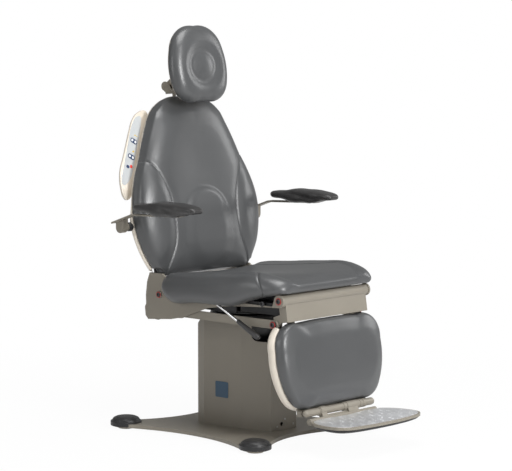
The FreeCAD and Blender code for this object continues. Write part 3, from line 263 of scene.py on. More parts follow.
def finish(name, colour, rough, metal=0.0, sway=(6.0, 0.05, 0.04), bump=(900.0, 2600.0, 0.35, 0.1),
           settled=0.0, **plain):
    """A material: colour drifts by sway (scale, amount, roughness amount); bump is the grain."""
    look = bpy.data.materials.new(name)
    look.use_nodes = True
    tree = look.node_tree
    shader = tree.nodes["Principled BSDF"]
    for socket, value in {"Metallic": metal, **plain}.items():
        shader.inputs[socket.replace("_", " ")].default_value = value
    wander = add_node(tree, "Group", drift, Color=(*colour, 1), Scale=sway[0], Amount=sway[1],
                      Roughness=rough, Roughness_Amount=sway[2])
    surface = wander.outputs["Color"]
    if settled:
        layer = add_node(tree, "Group", dust, Amount=settled)
        tree.links.new(surface, layer.inputs["Color"])
        surface = layer.outputs["Color"]
    texture = add_node(tree, "Group", grain, Cell_Scale=bump[0], Fine_Scale=bump[1],
                       Fine_Share=bump[2])
    relief = add_node(tree, "Bump", Strength=bump[3], Distance=0.0005)
    join(tree, (surface, shader.inputs["Base Color"]),
         (wander.outputs["Roughness"], shader.inputs["Roughness"]),
         (texture.outputs["Height"], relief.inputs["Height"]),
         (relief.outputs["Normal"], shader.inputs["Normal"]))
    looks[name] = look


finish("grey_vinyl", (0.064, 0.066, 0.068), 0.33, sway=(5.0, 0.05, 0.03),
       bump=(820.0, 2600.0, 0.4, 0.16), Specular_IOR_Level=0.68)
finish("cream_plastic", (0.71, 0.648, 0.56), 0.36, sway=(4.0, 0.02, 0.04),
       bump=(1500.0, 3200.0, 0.5, 0.05))
finish("taupe_paint", (0.232, 0.21, 0.172), 0.42, sway=(7.0, 0.04, 0.05),
       bump=(700.0, 1800.0, 0.6, 0.08), settled=0.08)
finish("black_steel", (0.018, 0.018, 0.02), 0.3, sway=(9.0, 0.2, 0.06),
       bump=(1100.0, 2400.0, 0.5, 0.05), settled=0.06)
finish("dark_plastic", (0.02, 0.02, 0.021), 0.4, sway=(12.0, 0.12, 0.06),
       bump=(1300.0, 3000.0, 0.5, 0.08), settled=0.03, Specular_IOR_Level=0.4)
finish("dark_urethane", (0.03, 0.029, 0.029), 0.36, sway=(10.0, 0.1, 0.06),
       bump=(1000.0, 2800.0, 0.5, 0.1))
finish("chrome", (0.82, 0.82, 0.83), 0.09, 1.0, sway=(20.0, 0.03, 0.03),
       bump=(300.0, 900.0, 0.5, 0.01))
finish("steel", (0.42, 0.41, 0.4), 0.3, 1.0, sway=(14.0, 0.08, 0.08),
       bump=(500.0, 2600.0, 0.8, 0.06))
finish("tread_aluminium", (0.9, 0.91, 0.93), 0.36, 0.8, sway=(30.0, 0.04, 0.06),
       bump=(260.0, 1500.0, 0.6, 0.06))
finish("plywood", (0.46, 0.32, 0.18), 0.6, sway=(25.0, 0.12, 0.08), bump=(200.0, 900.0, 0.8, 0.2))
finish("key_blue", (0.016, 0.04, 0.11), 0.38, sway=(30.0, 0.06, 0.04))
finish("red_ring", (0.42, 0.03, 0.022), 0.4, sway=(60.0, 0.1, 0.05))
finish("key_white", (0.72, 0.74, 0.76), 0.4, sway=(30.0, 0.03, 0.03))
finish("thread", (0.075, 0.078, 0.082), 0.6, sway=(400.0, 0.12, 0.05))
finish("badge", (0.018, 0.062, 0.115), 0.3, sway=(12.0, 0.05, 0.04))
finish("membrane", (0.5, 0.525, 0.54), 0.34, sway=(8.0, 0.02, 0.03),
       bump=(2200.0, 3600.0, 0.5, 0.03))


def seam_shade_over(look):
    """Darken a finish with painted shade along the piece's seam attribute, and press it in."""
    tree = look.node_tree
    shader = tree.nodes["Principled BSDF"]
    # painted shade: the base colour darkens along the seam; the bump only presses the seam in
    line = add_node(tree, "Group", seam_shade)
    fold = add_node(tree, "Bump", Strength=0.6, Distance=0.0012)
    fold.invert = True
    below = shader.inputs["Base Color"].links[0].from_socket
    relief = shader.inputs["Normal"].links[0].from_socket
    join(tree, (below, line.inputs["Color"]), (line.outputs["Color"], shader.inputs["Base Color"]),
         (line.outputs["Mask"], fold.inputs["Height"]), (relief, fold.inputs["Normal"]),
         (fold.outputs["Normal"], shader.inputs["Normal"]))


# the vinyl gets a line of painted shade along each of its seams
seam_shade_over(looks["grey_vinyl"])
print(len(looks), "finishes")

# %% [markdown]
# ### Printed finishes
#
# The keypads are a printed membrane and the plate on the column is a plain printed one.
# Print has no thickness worth modelling, so it is made with masks: a circle or an oval is
# the set of points nearer than a radius to its middle. A Mapping node first turns the
# leaning keypad upright, so that the places can be read straight off the drawing.

# %% Oval masks


def upright_coordinates(tree, angle, origin):
    """Object coordinates turned upright about X, as three sockets x, y, z."""
    at = add_node(tree, "TexCoord")
    spin = Matrix.Rotation(math.radians(angle), 4, "X")
    turn = add_node(tree, "Mapping", Rotation=(math.radians(angle), 0, 0),
                    Location=-(spin @ Vector(origin)))
    split = add_node(tree, "SeparateXYZ")
    join(tree, (at.outputs["Object"], turn.inputs["Vector"]),
         (turn.outputs["Vector"], split.inputs[0]))
    return split.outputs


def oval(tree, x, z, place, radii):
    """1 inside an oval at a place, 0 outside."""
    squares = []
    for value, middle, radius in zip((x, z), place, radii):
        share = maths(tree, "DIVIDE", maths(tree, "SUBTRACT", value, middle), radius)
        squares.append(maths(tree, "POWER", maths(tree, "ABSOLUTE", share), 2))
    return maths(tree, "LESS_THAN", maths(tree, "ADD", *squares), 1.0)


def printed(look, marks):
    """Lay coloured ovals over a finish's colour, the same on the right and the left."""
    tree = look.node_tree
    x, _, z = upright_coordinates(tree, back_lean, (0, *back_pivot))
    x = maths(tree, "ABSOLUTE", x)
    shader = tree.nodes["Principled BSDF"]
    below = shader.inputs["Base Color"].links[0].from_socket
    for place, radii, ink in marks:
        mix = add_node(tree, "Mix")
        mix.data_type = "RGBA"
        mix.inputs[7].default_value = (*ink, 1)
        join(tree, (oval(tree, x, z, place, radii), mix.inputs["Factor"]), (below, mix.inputs[6]))
        below = mix.outputs[2]
    tree.links.new(below, shader.inputs["Base Color"])


yellow = (0.62, 0.43, 0.04)
red = (0.78, 0.045, 0.03)
printed(looks["membrane"],
        [((0.213, 0.573), (0.004, 0.0022), yellow), ((0.205, 0.569), (0.0035, 0.0018), yellow),
         ((0.232, 0.516), (0.0046, 0.0034), yellow), ((0.252, 0.463), (0.0062, 0.0062), red)])
print("print laid on the membrane")

# %% [markdown]
# ## From bmesh to a finished piece
#
# Every new piece goes through one door: the normals are made to point outwards, edges
# sharper than a limit stay sharp, and a Bevel modifier can round them, because no real edge
# is perfectly sharp and the narrow round is what catches the light.

# %% Finish a piece


def mesh_of(name, bm):
    """A mesh from a bmesh, which is freed."""
    mesh = bpy.data.meshes.new(name)
    bm.to_mesh(mesh)
    bm.free()
    return mesh


def baked(piece):
    """The mesh of an object after its modifiers."""
    return bpy.data.meshes.new_from_object(
        piece.evaluated_get(bpy.context.evaluated_depsgraph_get()))


def show(name, bm, body, slot, stands_for=(), bevel=0.0, segments=2, sharp=35, look=None):
    """Turn a bmesh into a piece that rides on a body, in the finish of a slot."""
    bmesh.ops.recalc_face_normals(bm, faces=bm.faces)
    return show_mesh(name, mesh_of(name, bm), body, slot, stands_for, bevel, segments, sharp, look)


def show_mesh(name, mesh, body, slot, stands_for=(), bevel=0.0, segments=2, sharp=35, look=None):
    """The same for a mesh that is already whole."""
    mesh.name = name
    mesh.materials.clear()
    mesh.materials.append(look or looks[slot])
    mesh.shade_smooth()
    mesh.set_sharp_from_angle(angle=math.radians(sharp))
    piece = linked(name, mesh)
    if bevel:
        edge = piece.modifiers.new("soft_edges", "BEVEL")
        edge.width = bevel
        edge.segments = segments
        edge.limit_method = "ANGLE"
        edge.angle_limit = math.radians(sharp)
        edge.harden_normals = True
    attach(piece, body)
    if stands_for:
        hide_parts(*stands_for)
    return piece


def pulled_out(bm, faces, way):
    """Pull faces out along a vector, with walls behind them."""
    pulled = bmesh.ops.extrude_face_region(bm, geom=list(faces))["geom"]
    bmesh.ops.translate(bm, verts=[v for v in pulled if isinstance(v, bmesh.types.BMVert)], vec=way)


def gathered(*parts):
    """Several bmeshes as one."""
    whole = bmesh.new()
    for part in parts:
        mesh = mesh_of("part", part)
        whole.from_mesh(mesh)
        bpy.data.meshes.remove(mesh)
    return whole


# %% [markdown]
# ## Dressing the CAD pieces
#
# Sheet metal and machined pieces already have their exact shape in the CAD model, but as
# loose triangles with razor edges. A copy is merged, its flat areas are dissolved back into
# whole faces, and a bevel is put on every edge, which is quicker and truer than drawing
# the piece again.

# %% Copy a CAD node and soften its edges
slot_of = {s["node"]: s["material_slot"] for s in frame["record"]["subparts"]}


def copied(node):
    """A merged copy of a CAD node's mesh, with its flat areas whole."""
    bm = bmesh.new()
    bm.from_mesh(nodes[node].data)
    bmesh.ops.remove_doubles(bm, verts=bm.verts, dist=0.00002)
    bmesh.ops.dissolve_limit(bm, angle_limit=math.radians(0.6), verts=bm.verts, edges=bm.edges,
                             use_dissolve_boundaries=False)
    return bm


def dressed(node, bevel=0.0008, segments=2, sharp=28):
    """A CAD node with softened edges, in its place."""
    return show(node + "_piece", copied(node), nodes[node]["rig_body"], slot_of[node], (node,),
                bevel, segments, sharp)


for node in nodes.values():
    for place in node.material_slots:
        place.material = looks[slot_of[node["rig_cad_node"]]]

for place in nodes["seat_pan"].material_slots:
    place.material = looks["dark_plastic"]

sheet_metal = {"base_plate": 0.0015, "column_cover_right": 0.0008, "column_cover_left": 0.0008,
               "side_plate_right": 0.0012, "side_plate_left": 0.0012, "push_bars": 0.0012,
               "legrest_frame": 0.0006, "footplate_tray": 0.0015, "seat_frame": 0.0006,
               "control_box": 0.002, "recline_gearmotor": 0.0012, "back_frame": 0.0006,
               "arm_right": 0.001, "arm_left": 0.001, "headrest_stem": 0.0006,
               "headrest_link": 0.0012, "headrest_bracket": 0.0006, "footplate_hinge": 0.0008,
               "cord_gland": 0.001, "back_pivot_shaft": 0.001, "link_bolts": 0.001}
for name, width in sheet_metal.items():
    dressed(name, width)
print(len(sheet_metal), "pieces dressed")

# %% [markdown]
# ## Turned pieces
#
# Caps, discs, rods, washers and bolts are all bodies of revolution. A half profile of a few
# points is spun once round its axis. The profile is a list of (distance along the axis,
# radius) in mm, which reads like a drawing for a lathe.

# %% Spin a profile


def turned(profile, at=(0, 0, 0), axis=(1, 0, 0), steps=48):
    """Spin (along, radius) points, in mm, round an axis through a place."""
    bm = bmesh.new()
    line = [bm.verts.new((along * mm, radius * mm, 0)) for along, radius in profile]
    edges = [bm.edges.new(ends) for ends in zip(line, line[1:])]
    bmesh.ops.spin(bm, geom=line + edges, cent=(0, 0, 0), axis=(1, 0, 0), dvec=(0, 0, 0),
                   angle=math.tau, steps=steps, use_merge=True)
    bmesh.ops.remove_doubles(bm, verts=bm.verts, dist=0.000001)
    turn = Vector(axis).to_track_quat("X", "Z").to_matrix().to_4x4()
    bmesh.ops.transform(bm, matrix=Matrix.Translation(at) @ turn, verts=bm.verts)
    return bm


# %% [markdown]
# ### Corner caps and glides
#
# A dark moulded cap wraps each corner of the base: a low skirt, a step, and a domed top with
# a shallow groove round it. The glide under it is the pale foot that touches the floor.

# %% Corner caps and glides
corners = [(s * x, y) for x, y in ((0.290, -0.316), (0.268, 0.332)) for s in (1, -1)]
cap_profile = [(11, 50), (11, 55), (13, 56), (26, 56), (28, 54.5), (28.2, 51), (30, 50.5), (36, 47),
               (39, 43), (40, 41), (40.4, 37.5), (42.2, 36.5), (43.6, 30), (43.9, 20), (44, 0)]
show("corner_cap_pieces",
     gathered(*[turned(cap_profile, (x, y, 0), UP, 64) for x, y in corners]),
     "base", "dark_plastic", ("corner_caps",), 0.0006, 2, 30)
glide_profile = [(0, 0), (0, 27), (1.5, 29.3), (4, 30), (8, 30), (8, 0)]
show("floor_glide_pieces",
     gathered(*[turned(glide_profile, (x, y, 0), UP, 48) for x, y in corners]),
     "base", slot_of["floor_glides"], ("floor_glides",), 0.0004, 2, 30)

# %% [markdown]
# ### Swivel discs
#
# The seat turns on a thick black disc with a polished lower rim. Two steps and rounded edges
# are all its shape; the finish does the rest.

# %% Swivel discs
swivel = (0, -0.017, 0)
rim = [(413, 0), (413, 132), (415, 135), (421.5, 136), (428, 135), (430, 132), (430, 0)]
plate = [(404.9, 0), (404.9, 68), (413.2, 68), (413.2, 0)]
show("swivel_rim", gathered(turned(rim, swivel, UP, 96), turned(plate, swivel, UP, 48)),
     "lift", slot_of["swivel_base"], ("swivel_base",), 0.0008, 3, 30)
table = [(430.4, 20), (430.4, 117), (432, 119.4), (438, 120), (440, 118), (440.3, 101), (442, 100),
         (449.9, 99), (449.9, 20)]
show("turntable_disc", turned(table, swivel, UP, 96), "turret", slot_of["turntable"],
     ("turntable",), 0.0008, 2, 30)

# %% [markdown]
# ### Pivot bolts
#
# Each bolt has a dark button head with a hexagon socket, and on the pivots a red washer under
# it. The socket is cut with a Boolean, the quick way to put a six sided hole in a round head.

# %% Bolts with a socket and a red washer


def button_bolt(name, places, head_r, head, body, stands_for, slot, washer_r=0.0):
    """Bolt heads that face outwards along X, one at each place; their sizes are in mm."""
    profile = [(-4, 0), (-4, head_r * 0.5), (0, head_r * 0.5), (0, head_r),
               (head * 0.45, head_r), (head * 0.85, head_r * 0.84), (head, head_r * 0.6), (head, 0)]
    heads = []
    holes = []
    washers = []
    for x, y, z in places:
        way = (math.copysign(1, x), 0, 0)
        heads.append(turned(profile, (x, y, z), way, 36))
        hole = bmesh.new()
        socket_r = head_r * 0.42 * mm
        bmesh.ops.create_cone(hole, cap_ends=True, segments=6, radius1=socket_r, radius2=socket_r,
                              depth=head * 1.2 * mm)
        bmesh.ops.rotate(hole, verts=hole.verts, matrix=Matrix.Rotation(math.pi / 2, 3, "Y"))
        bmesh.ops.translate(hole, verts=hole.verts, vec=(x + way[0] * head * mm, y, z))
        holes.append(hole)
        if washer_r:
            ring = [(0.2, head_r * 0.8), (0.2, washer_r), (1.4, washer_r), (1.4, head_r * 0.8),
                    (0.2, head_r * 0.8)]
            washers.append(turned(ring, (x, y, z), way, 36))
    bolt = show(name, gathered(*heads), body, slot, stands_for, 0.0, 2, 30)
    tool = linked("socket_tool", mesh_of("socket_tool", gathered(*holes)))
    cut = bolt.modifiers.new("socket", "BOOLEAN")
    cut.object = tool
    cut.solver = "EXACT"
    whole = baked(bolt)
    bolt.modifiers.remove(cut)
    bolt.data = whole
    whole.set_sharp_from_angle(angle=math.radians(30))
    bpy.data.objects.remove(tool)
    if washers:
        show(name + "_washers", gathered(*washers), body, slot, (), 0.0003, 2, 30,
             looks["red_ring"])


bolt_slot = slot_of["rail_bolts"]
button_bolt("ear_bolt_heads", [(s * 0.2304, *leg_pivot) for s in (-1, 1)], 9.5, 5.6,
            "turret", ("ear_bolts",), slot_of["ear_bolts"], 12.5)
button_bolt("rail_bolt_heads", [(s * 0.2302, -0.294, 0.501) for s in (-1, 1)], 10, 5,
            "turret", ("rail_bolts",), bolt_slot)
button_bolt("link_bolt_heads", [(s * 0.2266, -0.338, 0.432) for s in (-1, 1)], 9.5, 5,
            "legrest", (), bolt_slot, 12.2)
button_bolt("back_bolt_heads", [(s * 0.2362, *back_pivot) for s in (-1, 1)], 8.5, 4,
            "back", (), bolt_slot, 11)
print("bolts made")

# %% [markdown]
# ## Cushions
#
# Foam under tight vinyl looks crowned, with soft broad highlights, and it never has a flat
# face with hard edges. A copy of the CAD cushion is remeshed into even squares, relaxed, and
# then a short cloth simulation with pressure inside lets the cover round itself over the
# foam. How far a point may move is capped, because tight upholstery barely moves. Points on
# the board side are pinned. Last, the seams are carved and stitched.

# %% Cushion helpers
rise_cap = 0.022
rearwards = np.array([[0, 1, 0]])


def evaluated_copy(mesh, *steps):
    """The mesh after modifiers given as (type, settings)."""
    work = linked("work", mesh)
    for kind, settings in steps:
        step = work.modifiers.new(kind, kind)
        for key, value in settings.items():
            setattr(step, key, value)
    out = baked(work)
    bpy.data.objects.remove(work)
    return out


def rows_of(source, key):
    """Three numbers for each item of a mesh collection, as an array."""
    flat = np.empty(len(source) * 3, np.float32)
    source.foreach_get(key, flat)
    return flat.reshape(-1, 3).astype(float)


def points_of(mesh):
    return rows_of(mesh.vertices, "co")


def normals_of(mesh):
    return rows_of(mesh.vertex_normals, "vector")


def set_points(mesh, points):
    mesh.vertices.foreach_set("co", points.astype(np.float32).ravel())
    mesh.update()


def in_place(points, place):
    """World points as seen in an upright place."""
    inverse = np.array(place.inverted())
    return points @ inverse[:3, :3].T + inverse[:3, 3]


def turned_by(vectors, place):
    """Directions carried from an upright place to the world."""
    return vectors @ np.array(place)[:3, :3].T


def ease(values, low, high):
    """0 below low, 1 above high, smooth between."""
    t = np.clip((values - low) / (high - low), 0, 1)
    return t * t * (3 - 2 * t)


def spread(mesh, values, rounds):
    """Average each point's value with those of its neighbours, a few times."""
    ends = np.empty(len(mesh.edges) * 2, np.int32)
    mesh.edges.foreach_get("vertices", ends)
    a, b = ends.reshape(-1, 2).T
    count = len(mesh.vertices)
    share = 1 + np.bincount(a, minlength=count) + np.bincount(b, minlength=count)
    for _ in range(rounds):
        values = (values + np.bincount(a, values[b], count) + np.bincount(b, values[a], count)) / share
    return values


def even_skin(node, voxel, relax, full=0.0008):
    """A CAD cushion as a skin of even squares, relaxed and then filled out again."""
    bm = bmesh.new()
    bm.from_mesh(nodes[node].data)
    bmesh.ops.remove_doubles(bm, verts=bm.verts, dist=0.00002)
    mesh = mesh_of(node + "_skin", bm)
    rough = evaluated_copy(mesh, ("REMESH", {"mode": "VOXEL", "voxel_size": voxel}))
    skin = evaluated_copy(rough.copy(), ("SMOOTH", {"factor": 0.6, "iterations": relax}))
    normals = normals_of(skin)
    lost = ((points_of(rough) - points_of(skin)) * normals).sum(axis=1)
    set_points(skin, points_of(skin) + normals * (spread(skin, lost, relax) + full)[:, None])
    return skin


def puffed(mesh, pinned, share):
    """Blow the skin up with cloth pressure; pinned points stay, the rest take a share of the rise."""
    start = points_of(mesh)
    work = linked("puffed", mesh)
    held = work.vertex_groups.new(name="held")
    held.add([int(i) for i in np.nonzero(pinned)[0]], 1.0, "REPLACE")
    cloth = work.modifiers.new("cloth", "CLOTH")
    cloth.settings.quality = 4
    cloth.settings.mass = 0.3
    cloth.settings.tension_stiffness = 40
    cloth.settings.compression_stiffness = 40
    cloth.settings.bending_stiffness = 4
    cloth.settings.use_pressure = True
    cloth.settings.uniform_pressure_force = 4.0
    cloth.settings.effector_weights.gravity = 0
    cloth.settings.vertex_group_mass = "held"
    cloth.point_cache.frame_start = 1
    cloth.point_cache.frame_end = 20
    for step in range(1, 21):
        scene.frame_set(step)
    done = baked(work)
    normals = normals_of(mesh)
    rise = ((points_of(done) - start) * normals).sum(axis=1)
    rise = spread(mesh, share * rise_cap * np.tanh(rise / rise_cap), 30) * ~pinned
    print("puffed by", round(float(rise.max()) * 1000, 1), "mm, mean",
          round(float(rise.mean()) * 1000, 1))
    rise = spread(mesh, rise, 4)
    set_points(done, start + normals * rise[:, None])
    bpy.data.objects.remove(work)
    scene.frame_set(1)
    return done


def finer(mesh):
    """One level of subdivision, applied."""
    return evaluated_copy(mesh, ("SUBSURF", {"levels": 1, "render_levels": 1}))


def smooth_line(points, count, closed=False):
    """A smooth line through a few points, in count even steps, by a curve with automatic handles."""
    curve = bpy.data.curves.new("line", "CURVE")
    curve.dimensions = "3D"
    spline = curve.splines.new("BEZIER")
    spline.bezier_points.add(len(points) - 1)
    for handle, point in zip(spline.bezier_points, points):
        handle.co = point
        handle.handle_left_type = "AUTO"
        handle.handle_right_type = "AUTO"
    spline.use_cyclic_u = closed
    spline.resolution_u = 24
    work = bpy.data.objects.new("line", curve)
    mesh = bpy.data.meshes.new_from_object(work)
    line = points_of(mesh)
    if closed:
        line = np.vstack([line, line[:1]])
    bpy.data.objects.remove(work)
    run = np.concatenate([[0], np.cumsum(np.linalg.norm(np.diff(line, axis=0), axis=1))])
    steps = np.linspace(0, run[-1], count, endpoint=not closed)
    return np.stack([np.interp(steps, run, line[:, k]) for k in range(3)], axis=1)


def nearest_on(points, line):
    """For each point the distance to a line of points, and the index of the nearest one."""
    far = np.empty(len(points))
    index = np.empty(len(points), int)
    for start in range(0, len(points), 8192):
        chunk = points[start:start + 8192]
        gaps = np.linalg.norm(chunk[:, None, :] - line[None, :, :], axis=2)
        index[start:start + 8192] = gaps.argmin(axis=1)
        far[start:start + 8192] = gaps.min(axis=1)
    return far, index


# %% Seams and stitches
no_seam = 1.0
groove_width = 0.0042
row_gap = 0.0045
stitch_pitch = 0.0052
stitch_size = (0.0017, 0.00042, 0.00042, 1)


def laid_on(mesh, line, way):
    """Drop a line onto a mesh along a direction; gives the points hit and the normals there."""
    tree = BVHTree.FromPolygons([v.co for v in mesh.vertices], [p.vertices for p in mesh.polygons])
    hits = []
    ups = []
    for point in line:
        start = Vector(point) - Vector(way) * 0.4
        spot, normal, _, _ = tree.ray_cast(start, Vector(way))
        if spot is not None:
            hits.append(spot)
            ups.append(normal)
    return np.array(hits), np.array(ups)


def side_of(flat, seam):
    """Signed distance of points in a plane to a seam in it."""
    far, index = nearest_on(flat, seam)
    ahead = np.gradient(seam, axis=0)[index]
    gap = flat - seam[index]
    return far * np.sign(gap[:, 0] * ahead[:, 1] - gap[:, 1] * ahead[:, 0])


def carve(mesh, gap, depth):
    """Press a rounded groove in where the gap is 0, and note the gap in mm for the finish."""
    groove = depth * np.exp(-(np.abs(gap) / groove_width) ** 2)
    set_points(mesh, points_of(mesh) - normals_of(mesh) * groove[:, None])
    seam = mesh.attributes.new("seam", "FLOAT", "POINT")
    seam.data.foreach_set("value", (seam_zero + np.clip(gap / mm, -90, 90)).astype(np.float32))


def seam_rows(skin, seam, way, place):
    """Lines on a skin on both sides of a seam and of its mirror image, dropped along a way."""
    rows = []
    for side in (-1, 1):
        line = seam * np.array([side, 1, 1])
        ahead = np.gradient(line, axis=0)
        ahead /= np.linalg.norm(ahead, axis=1, keepdims=True)
        for shift in (-row_gap, row_gap):
            offset = line + np.cross(way, ahead) * shift
            world = [place @ Vector(point) for point in offset]
            rows.append(laid_on(skin, world, place.to_3x3() @ Vector(way)))
    return rows


def stitches(name, rows, body):
    """Thread that shows above the vinyl: one small grain per stitch along each row."""
    bm = bmesh.new()
    for spots, ups in rows:
        run = np.concatenate([[0], np.cumsum(np.linalg.norm(np.diff(spots, axis=0), axis=1))])
        marks = (np.arange(int(run[-1] / stitch_pitch)) + 0.5) * stitch_pitch
        where, ahead, up = (
            np.stack([np.interp(at, run, values[:, k]) for k in range(3)], axis=1)
            for at, values in ((marks, spots), (marks + mm, spots), (marks, ups)))
        for spot, next_spot, normal in zip(where, ahead, up):
            along = Vector(next_spot - spot).normalized()
            out = Vector(normal).normalized()
            side = out.cross(along).normalized()
            turn = Matrix((along, side, out)).transposed().to_4x4()
            place = Matrix.Translation(Vector(spot) + out * 0.00015) @ turn
            bmesh.ops.create_uvsphere(bm, u_segments=6, v_segments=4, radius=1,
                                      matrix=place @ Matrix.Diagonal(stitch_size))
    show(name, bm, body, "grey_vinyl", (), 0.0, 2, 80, looks["thread"])


def upholstered(name, skin, body, node):
    """Show a sewn skin as a padded cushion in place of its CAD solid."""
    piece = show_mesh(name, skin, body, "grey_vinyl", (node,), sharp=180)
    print(name, len(skin.polygons), "squares")


# %% [markdown]
# ### Back cushion
#
# One broad panel with a soft lumbar rise in its lower middle, and a firmer wing on each side
# that starts at a curved seam. The wing swells from the seam outwards, so the seam lies in a
# shallow valley and turns over the cushion's edge at its upper end.

# %% Back cushion
wing_line = [(216, 56), (203, 99), (189, 130), (172, 170), (163, 215), (161, 255), (164, 306),
             (171, 345), (184, 380), (197, 408), (212, 436), (229, 460), (248, 477), (272, 488)]
wing_seam = smooth_line([(x * mm, 0, u * mm) for x, u in wing_line], 200)
wing_rise, valley_depth, hollow_depth, settled_by = 0.006, -0.0035, -0.004, 0.0035
lumbar_rise, lumbar_middle, lumbar_half_width, lumbar_half_height = 0.0095, 0.205, 0.132, 0.162


def wing_gap(local):
    """Signed distance to the wing seam in the panel's plane."""
    flat = np.stack([np.abs(local[:, 0]), local[:, 2]], axis=1)
    return side_of(flat, wing_seam[:, [0, 2]])


def shape_back(mesh):
    """Swell the wings and the lumbar rise, both towards the front."""
    points = points_of(mesh)
    local = in_place(points, BACK)
    front = ease(-(normals_of(mesh) @ np.array(BACK)[:3, 1]), 0.05, 0.75)
    out = wing_gap(local)
    tall = ease(local[:, 2], 0.075, 0.16) * (1 - ease(local[:, 2], 0.32, 0.46))
    wing = wing_rise * ease(out, -0.002, 0.045) * tall
    valley = valley_depth * np.exp(-(out / 0.02) ** 2) * (1 - ease(local[:, 2], 0.38, 0.49))
    across = local[:, 0] / lumbar_half_width
    up = (local[:, 2] - lumbar_middle) / lumbar_half_height
    edge = 0.55 + 0.3 * ease(up, 0.2, 0.8)
    lumbar = lumbar_rise * (1 - ease((np.sqrt(across ** 2 + up ** 2) - edge) / (1.03 - edge), 0, 1))
    hollow = hollow_depth * np.exp(-((local[:, 2] - 0.46) / 0.09) ** 2 - (local[:, 0] / 0.1) ** 2)
    move = (wing + valley + lumbar + hollow - settled_by) * front
    set_points(mesh, points - turned_by(rearwards, BACK) * move[:, None])


back_skin = even_skin("back_cushion", 0.006, 5)
shape_back(back_skin)
back_local = in_place(points_of(back_skin), BACK)
back_skin = puffed(back_skin, back_local[:, 1] > -0.002, 0.35)
back_skin = finer(back_skin)
back_local = in_place(points_of(back_skin), BACK)
back_gap = np.where(back_local[:, 1] < 0.006, wing_gap(back_local), no_seam)
carve(back_skin, back_gap, 0.0026)
stitches("back_stitches", seam_rows(back_skin, wing_seam, (0, 1, 0), BACK), "back")
upholstered("back_upholstery", back_skin, "back", "back_cushion")

# %% [markdown]
# ### Seat cushion
#
# The seat is a saddle: a bolster along each side, a dished middle that is open towards the
# back, and a smooth roll in front. The bolster cover is sewn to the middle panel along the
# foot of its inner slope, and near the front that seam swings out and runs down the side.

# %% Seat cushion
seat_skin = even_skin("seat_cushion", 0.006, 5)
seat_points = points_of(seat_skin)
board_side = (seat_points[:, 2] < 0.520) | (seat_points[:, 1] > 0.135)
seat_skin = finer(puffed(seat_skin, board_side, 0.3))
seat_line = [(142, 190), (142, 120), (150, 60), (158, -40), (165, -130), (180, -200), (212, -256),
             (250, -292), (272, -312), (292, -324), (330, -340)]
seat_seam = smooth_line([(x * mm, y * mm, 0.7) for x, y in seat_line], 220)
seat_points = points_of(seat_skin)
crown_height, side_slope, rail_height = 0.585, 0.42, 0.528
fall = np.maximum(crown_height - seat_points[:, 2], 0) * side_slope
seat_flat = np.stack([np.abs(seat_points[:, 0]), seat_points[:, 1] + fall], axis=1)
seat_gap = np.where(seat_points[:, 2] > rail_height, side_of(seat_flat, seat_seam[:, :2]), no_seam)
carve(seat_skin, seat_gap, 0.0028)
stitches("seat_stitches", seam_rows(seat_skin, seat_seam, (0, 0, -1), Matrix()), "turret")
upholstered("seat_upholstery", seat_skin, "turret", "seat_cushion")

# %% [markdown]
# ### Legrest cushion
#
# A plain pillow with generous corners. The relaxed skin and the pressure give it its whole
# form, and no seam shows on it.

# %% Legrest cushion
leg_skin = even_skin("legrest_cushion", 0.0055, 6)
leg_local = in_place(points_of(leg_skin), LEG)
leg_skin = finer(puffed(leg_skin, leg_local[:, 1] > 0.004, 0.35))
upholstered("legrest_upholstery", leg_skin, "legrest", "legrest_cushion")

# %% [markdown]
# ### Headrest cushion
#
# The headrest has a soft round groove with a low button in its middle, so that the head
# settles into it. The CAD solid has the groove with crisp edges: it is wiped away, and a
# softer one is pressed in.

# %% Headrest cushion
ring_middle = (0.002, 0.791)
ring_reach = (0.064, 0.058)
head_front, ring_depth, dip_depth = 0.141, 0.0095, 0.006
button_middle, button_reach, button_rise = (0.016, 0.806), 0.05, 0.0065


def shape_headrest(mesh):
    """Wipe the CAD groove away and press in a soft ring round a low button."""
    points = points_of(mesh)
    local = in_place(points, BACK)
    reach = np.sqrt(((local[:, 0] - ring_middle[0]) / ring_reach[0]) ** 2
                    + ((local[:, 2] - ring_middle[1]) / ring_reach[1]) ** 2)
    inner = (reach < 1.6) & (local[:, 1] < -0.115)
    flat = head_front - 0.0012 * reach ** 2
    ring = ring_depth * np.exp(-((reach - 0.95) / 0.36) ** 2)
    button = np.hypot(local[:, 0] - button_middle[0], local[:, 2] - button_middle[1]) / button_reach
    dip = dip_depth * (1 - ease(reach, 0.3, 1.3)) - button_rise * np.exp(-button ** 2)
    wiped = (-flat - local[:, 1]) * (1 - ease(reach, 1.32, 1.55)) * inner
    pressed = spread(mesh, (ring + dip) * (1 - ease(reach, 1.3, 1.6)) * inner, 8)
    move = spread(mesh, wiped, 2) + pressed
    set_points(mesh, points + turned_by(rearwards, BACK) * move[:, None])


head_skin = even_skin("headrest_cushion", 0.0042, 6)
shape_headrest(head_skin)
head_skin = evaluated_copy(head_skin, ("SMOOTH", {"factor": 0.5, "iterations": 6}))
head_local = in_place(points_of(head_skin), BACK)
head_skin = finer(puffed(head_skin, head_local[:, 1] > -0.094, 0.2))
upholstered("headrest_upholstery", head_skin, "headrest", "headrest_cushion")

# %% [markdown]
# ## Moulded shells
#
# Cream shells close the back of each cushion. They are vacuum formed, so every edge is a
# round one. The dressed CAD shells get a fine bevel on their rims. The rears of two of them
# are drawn in a little, so that no rim shows round the cushion in front.

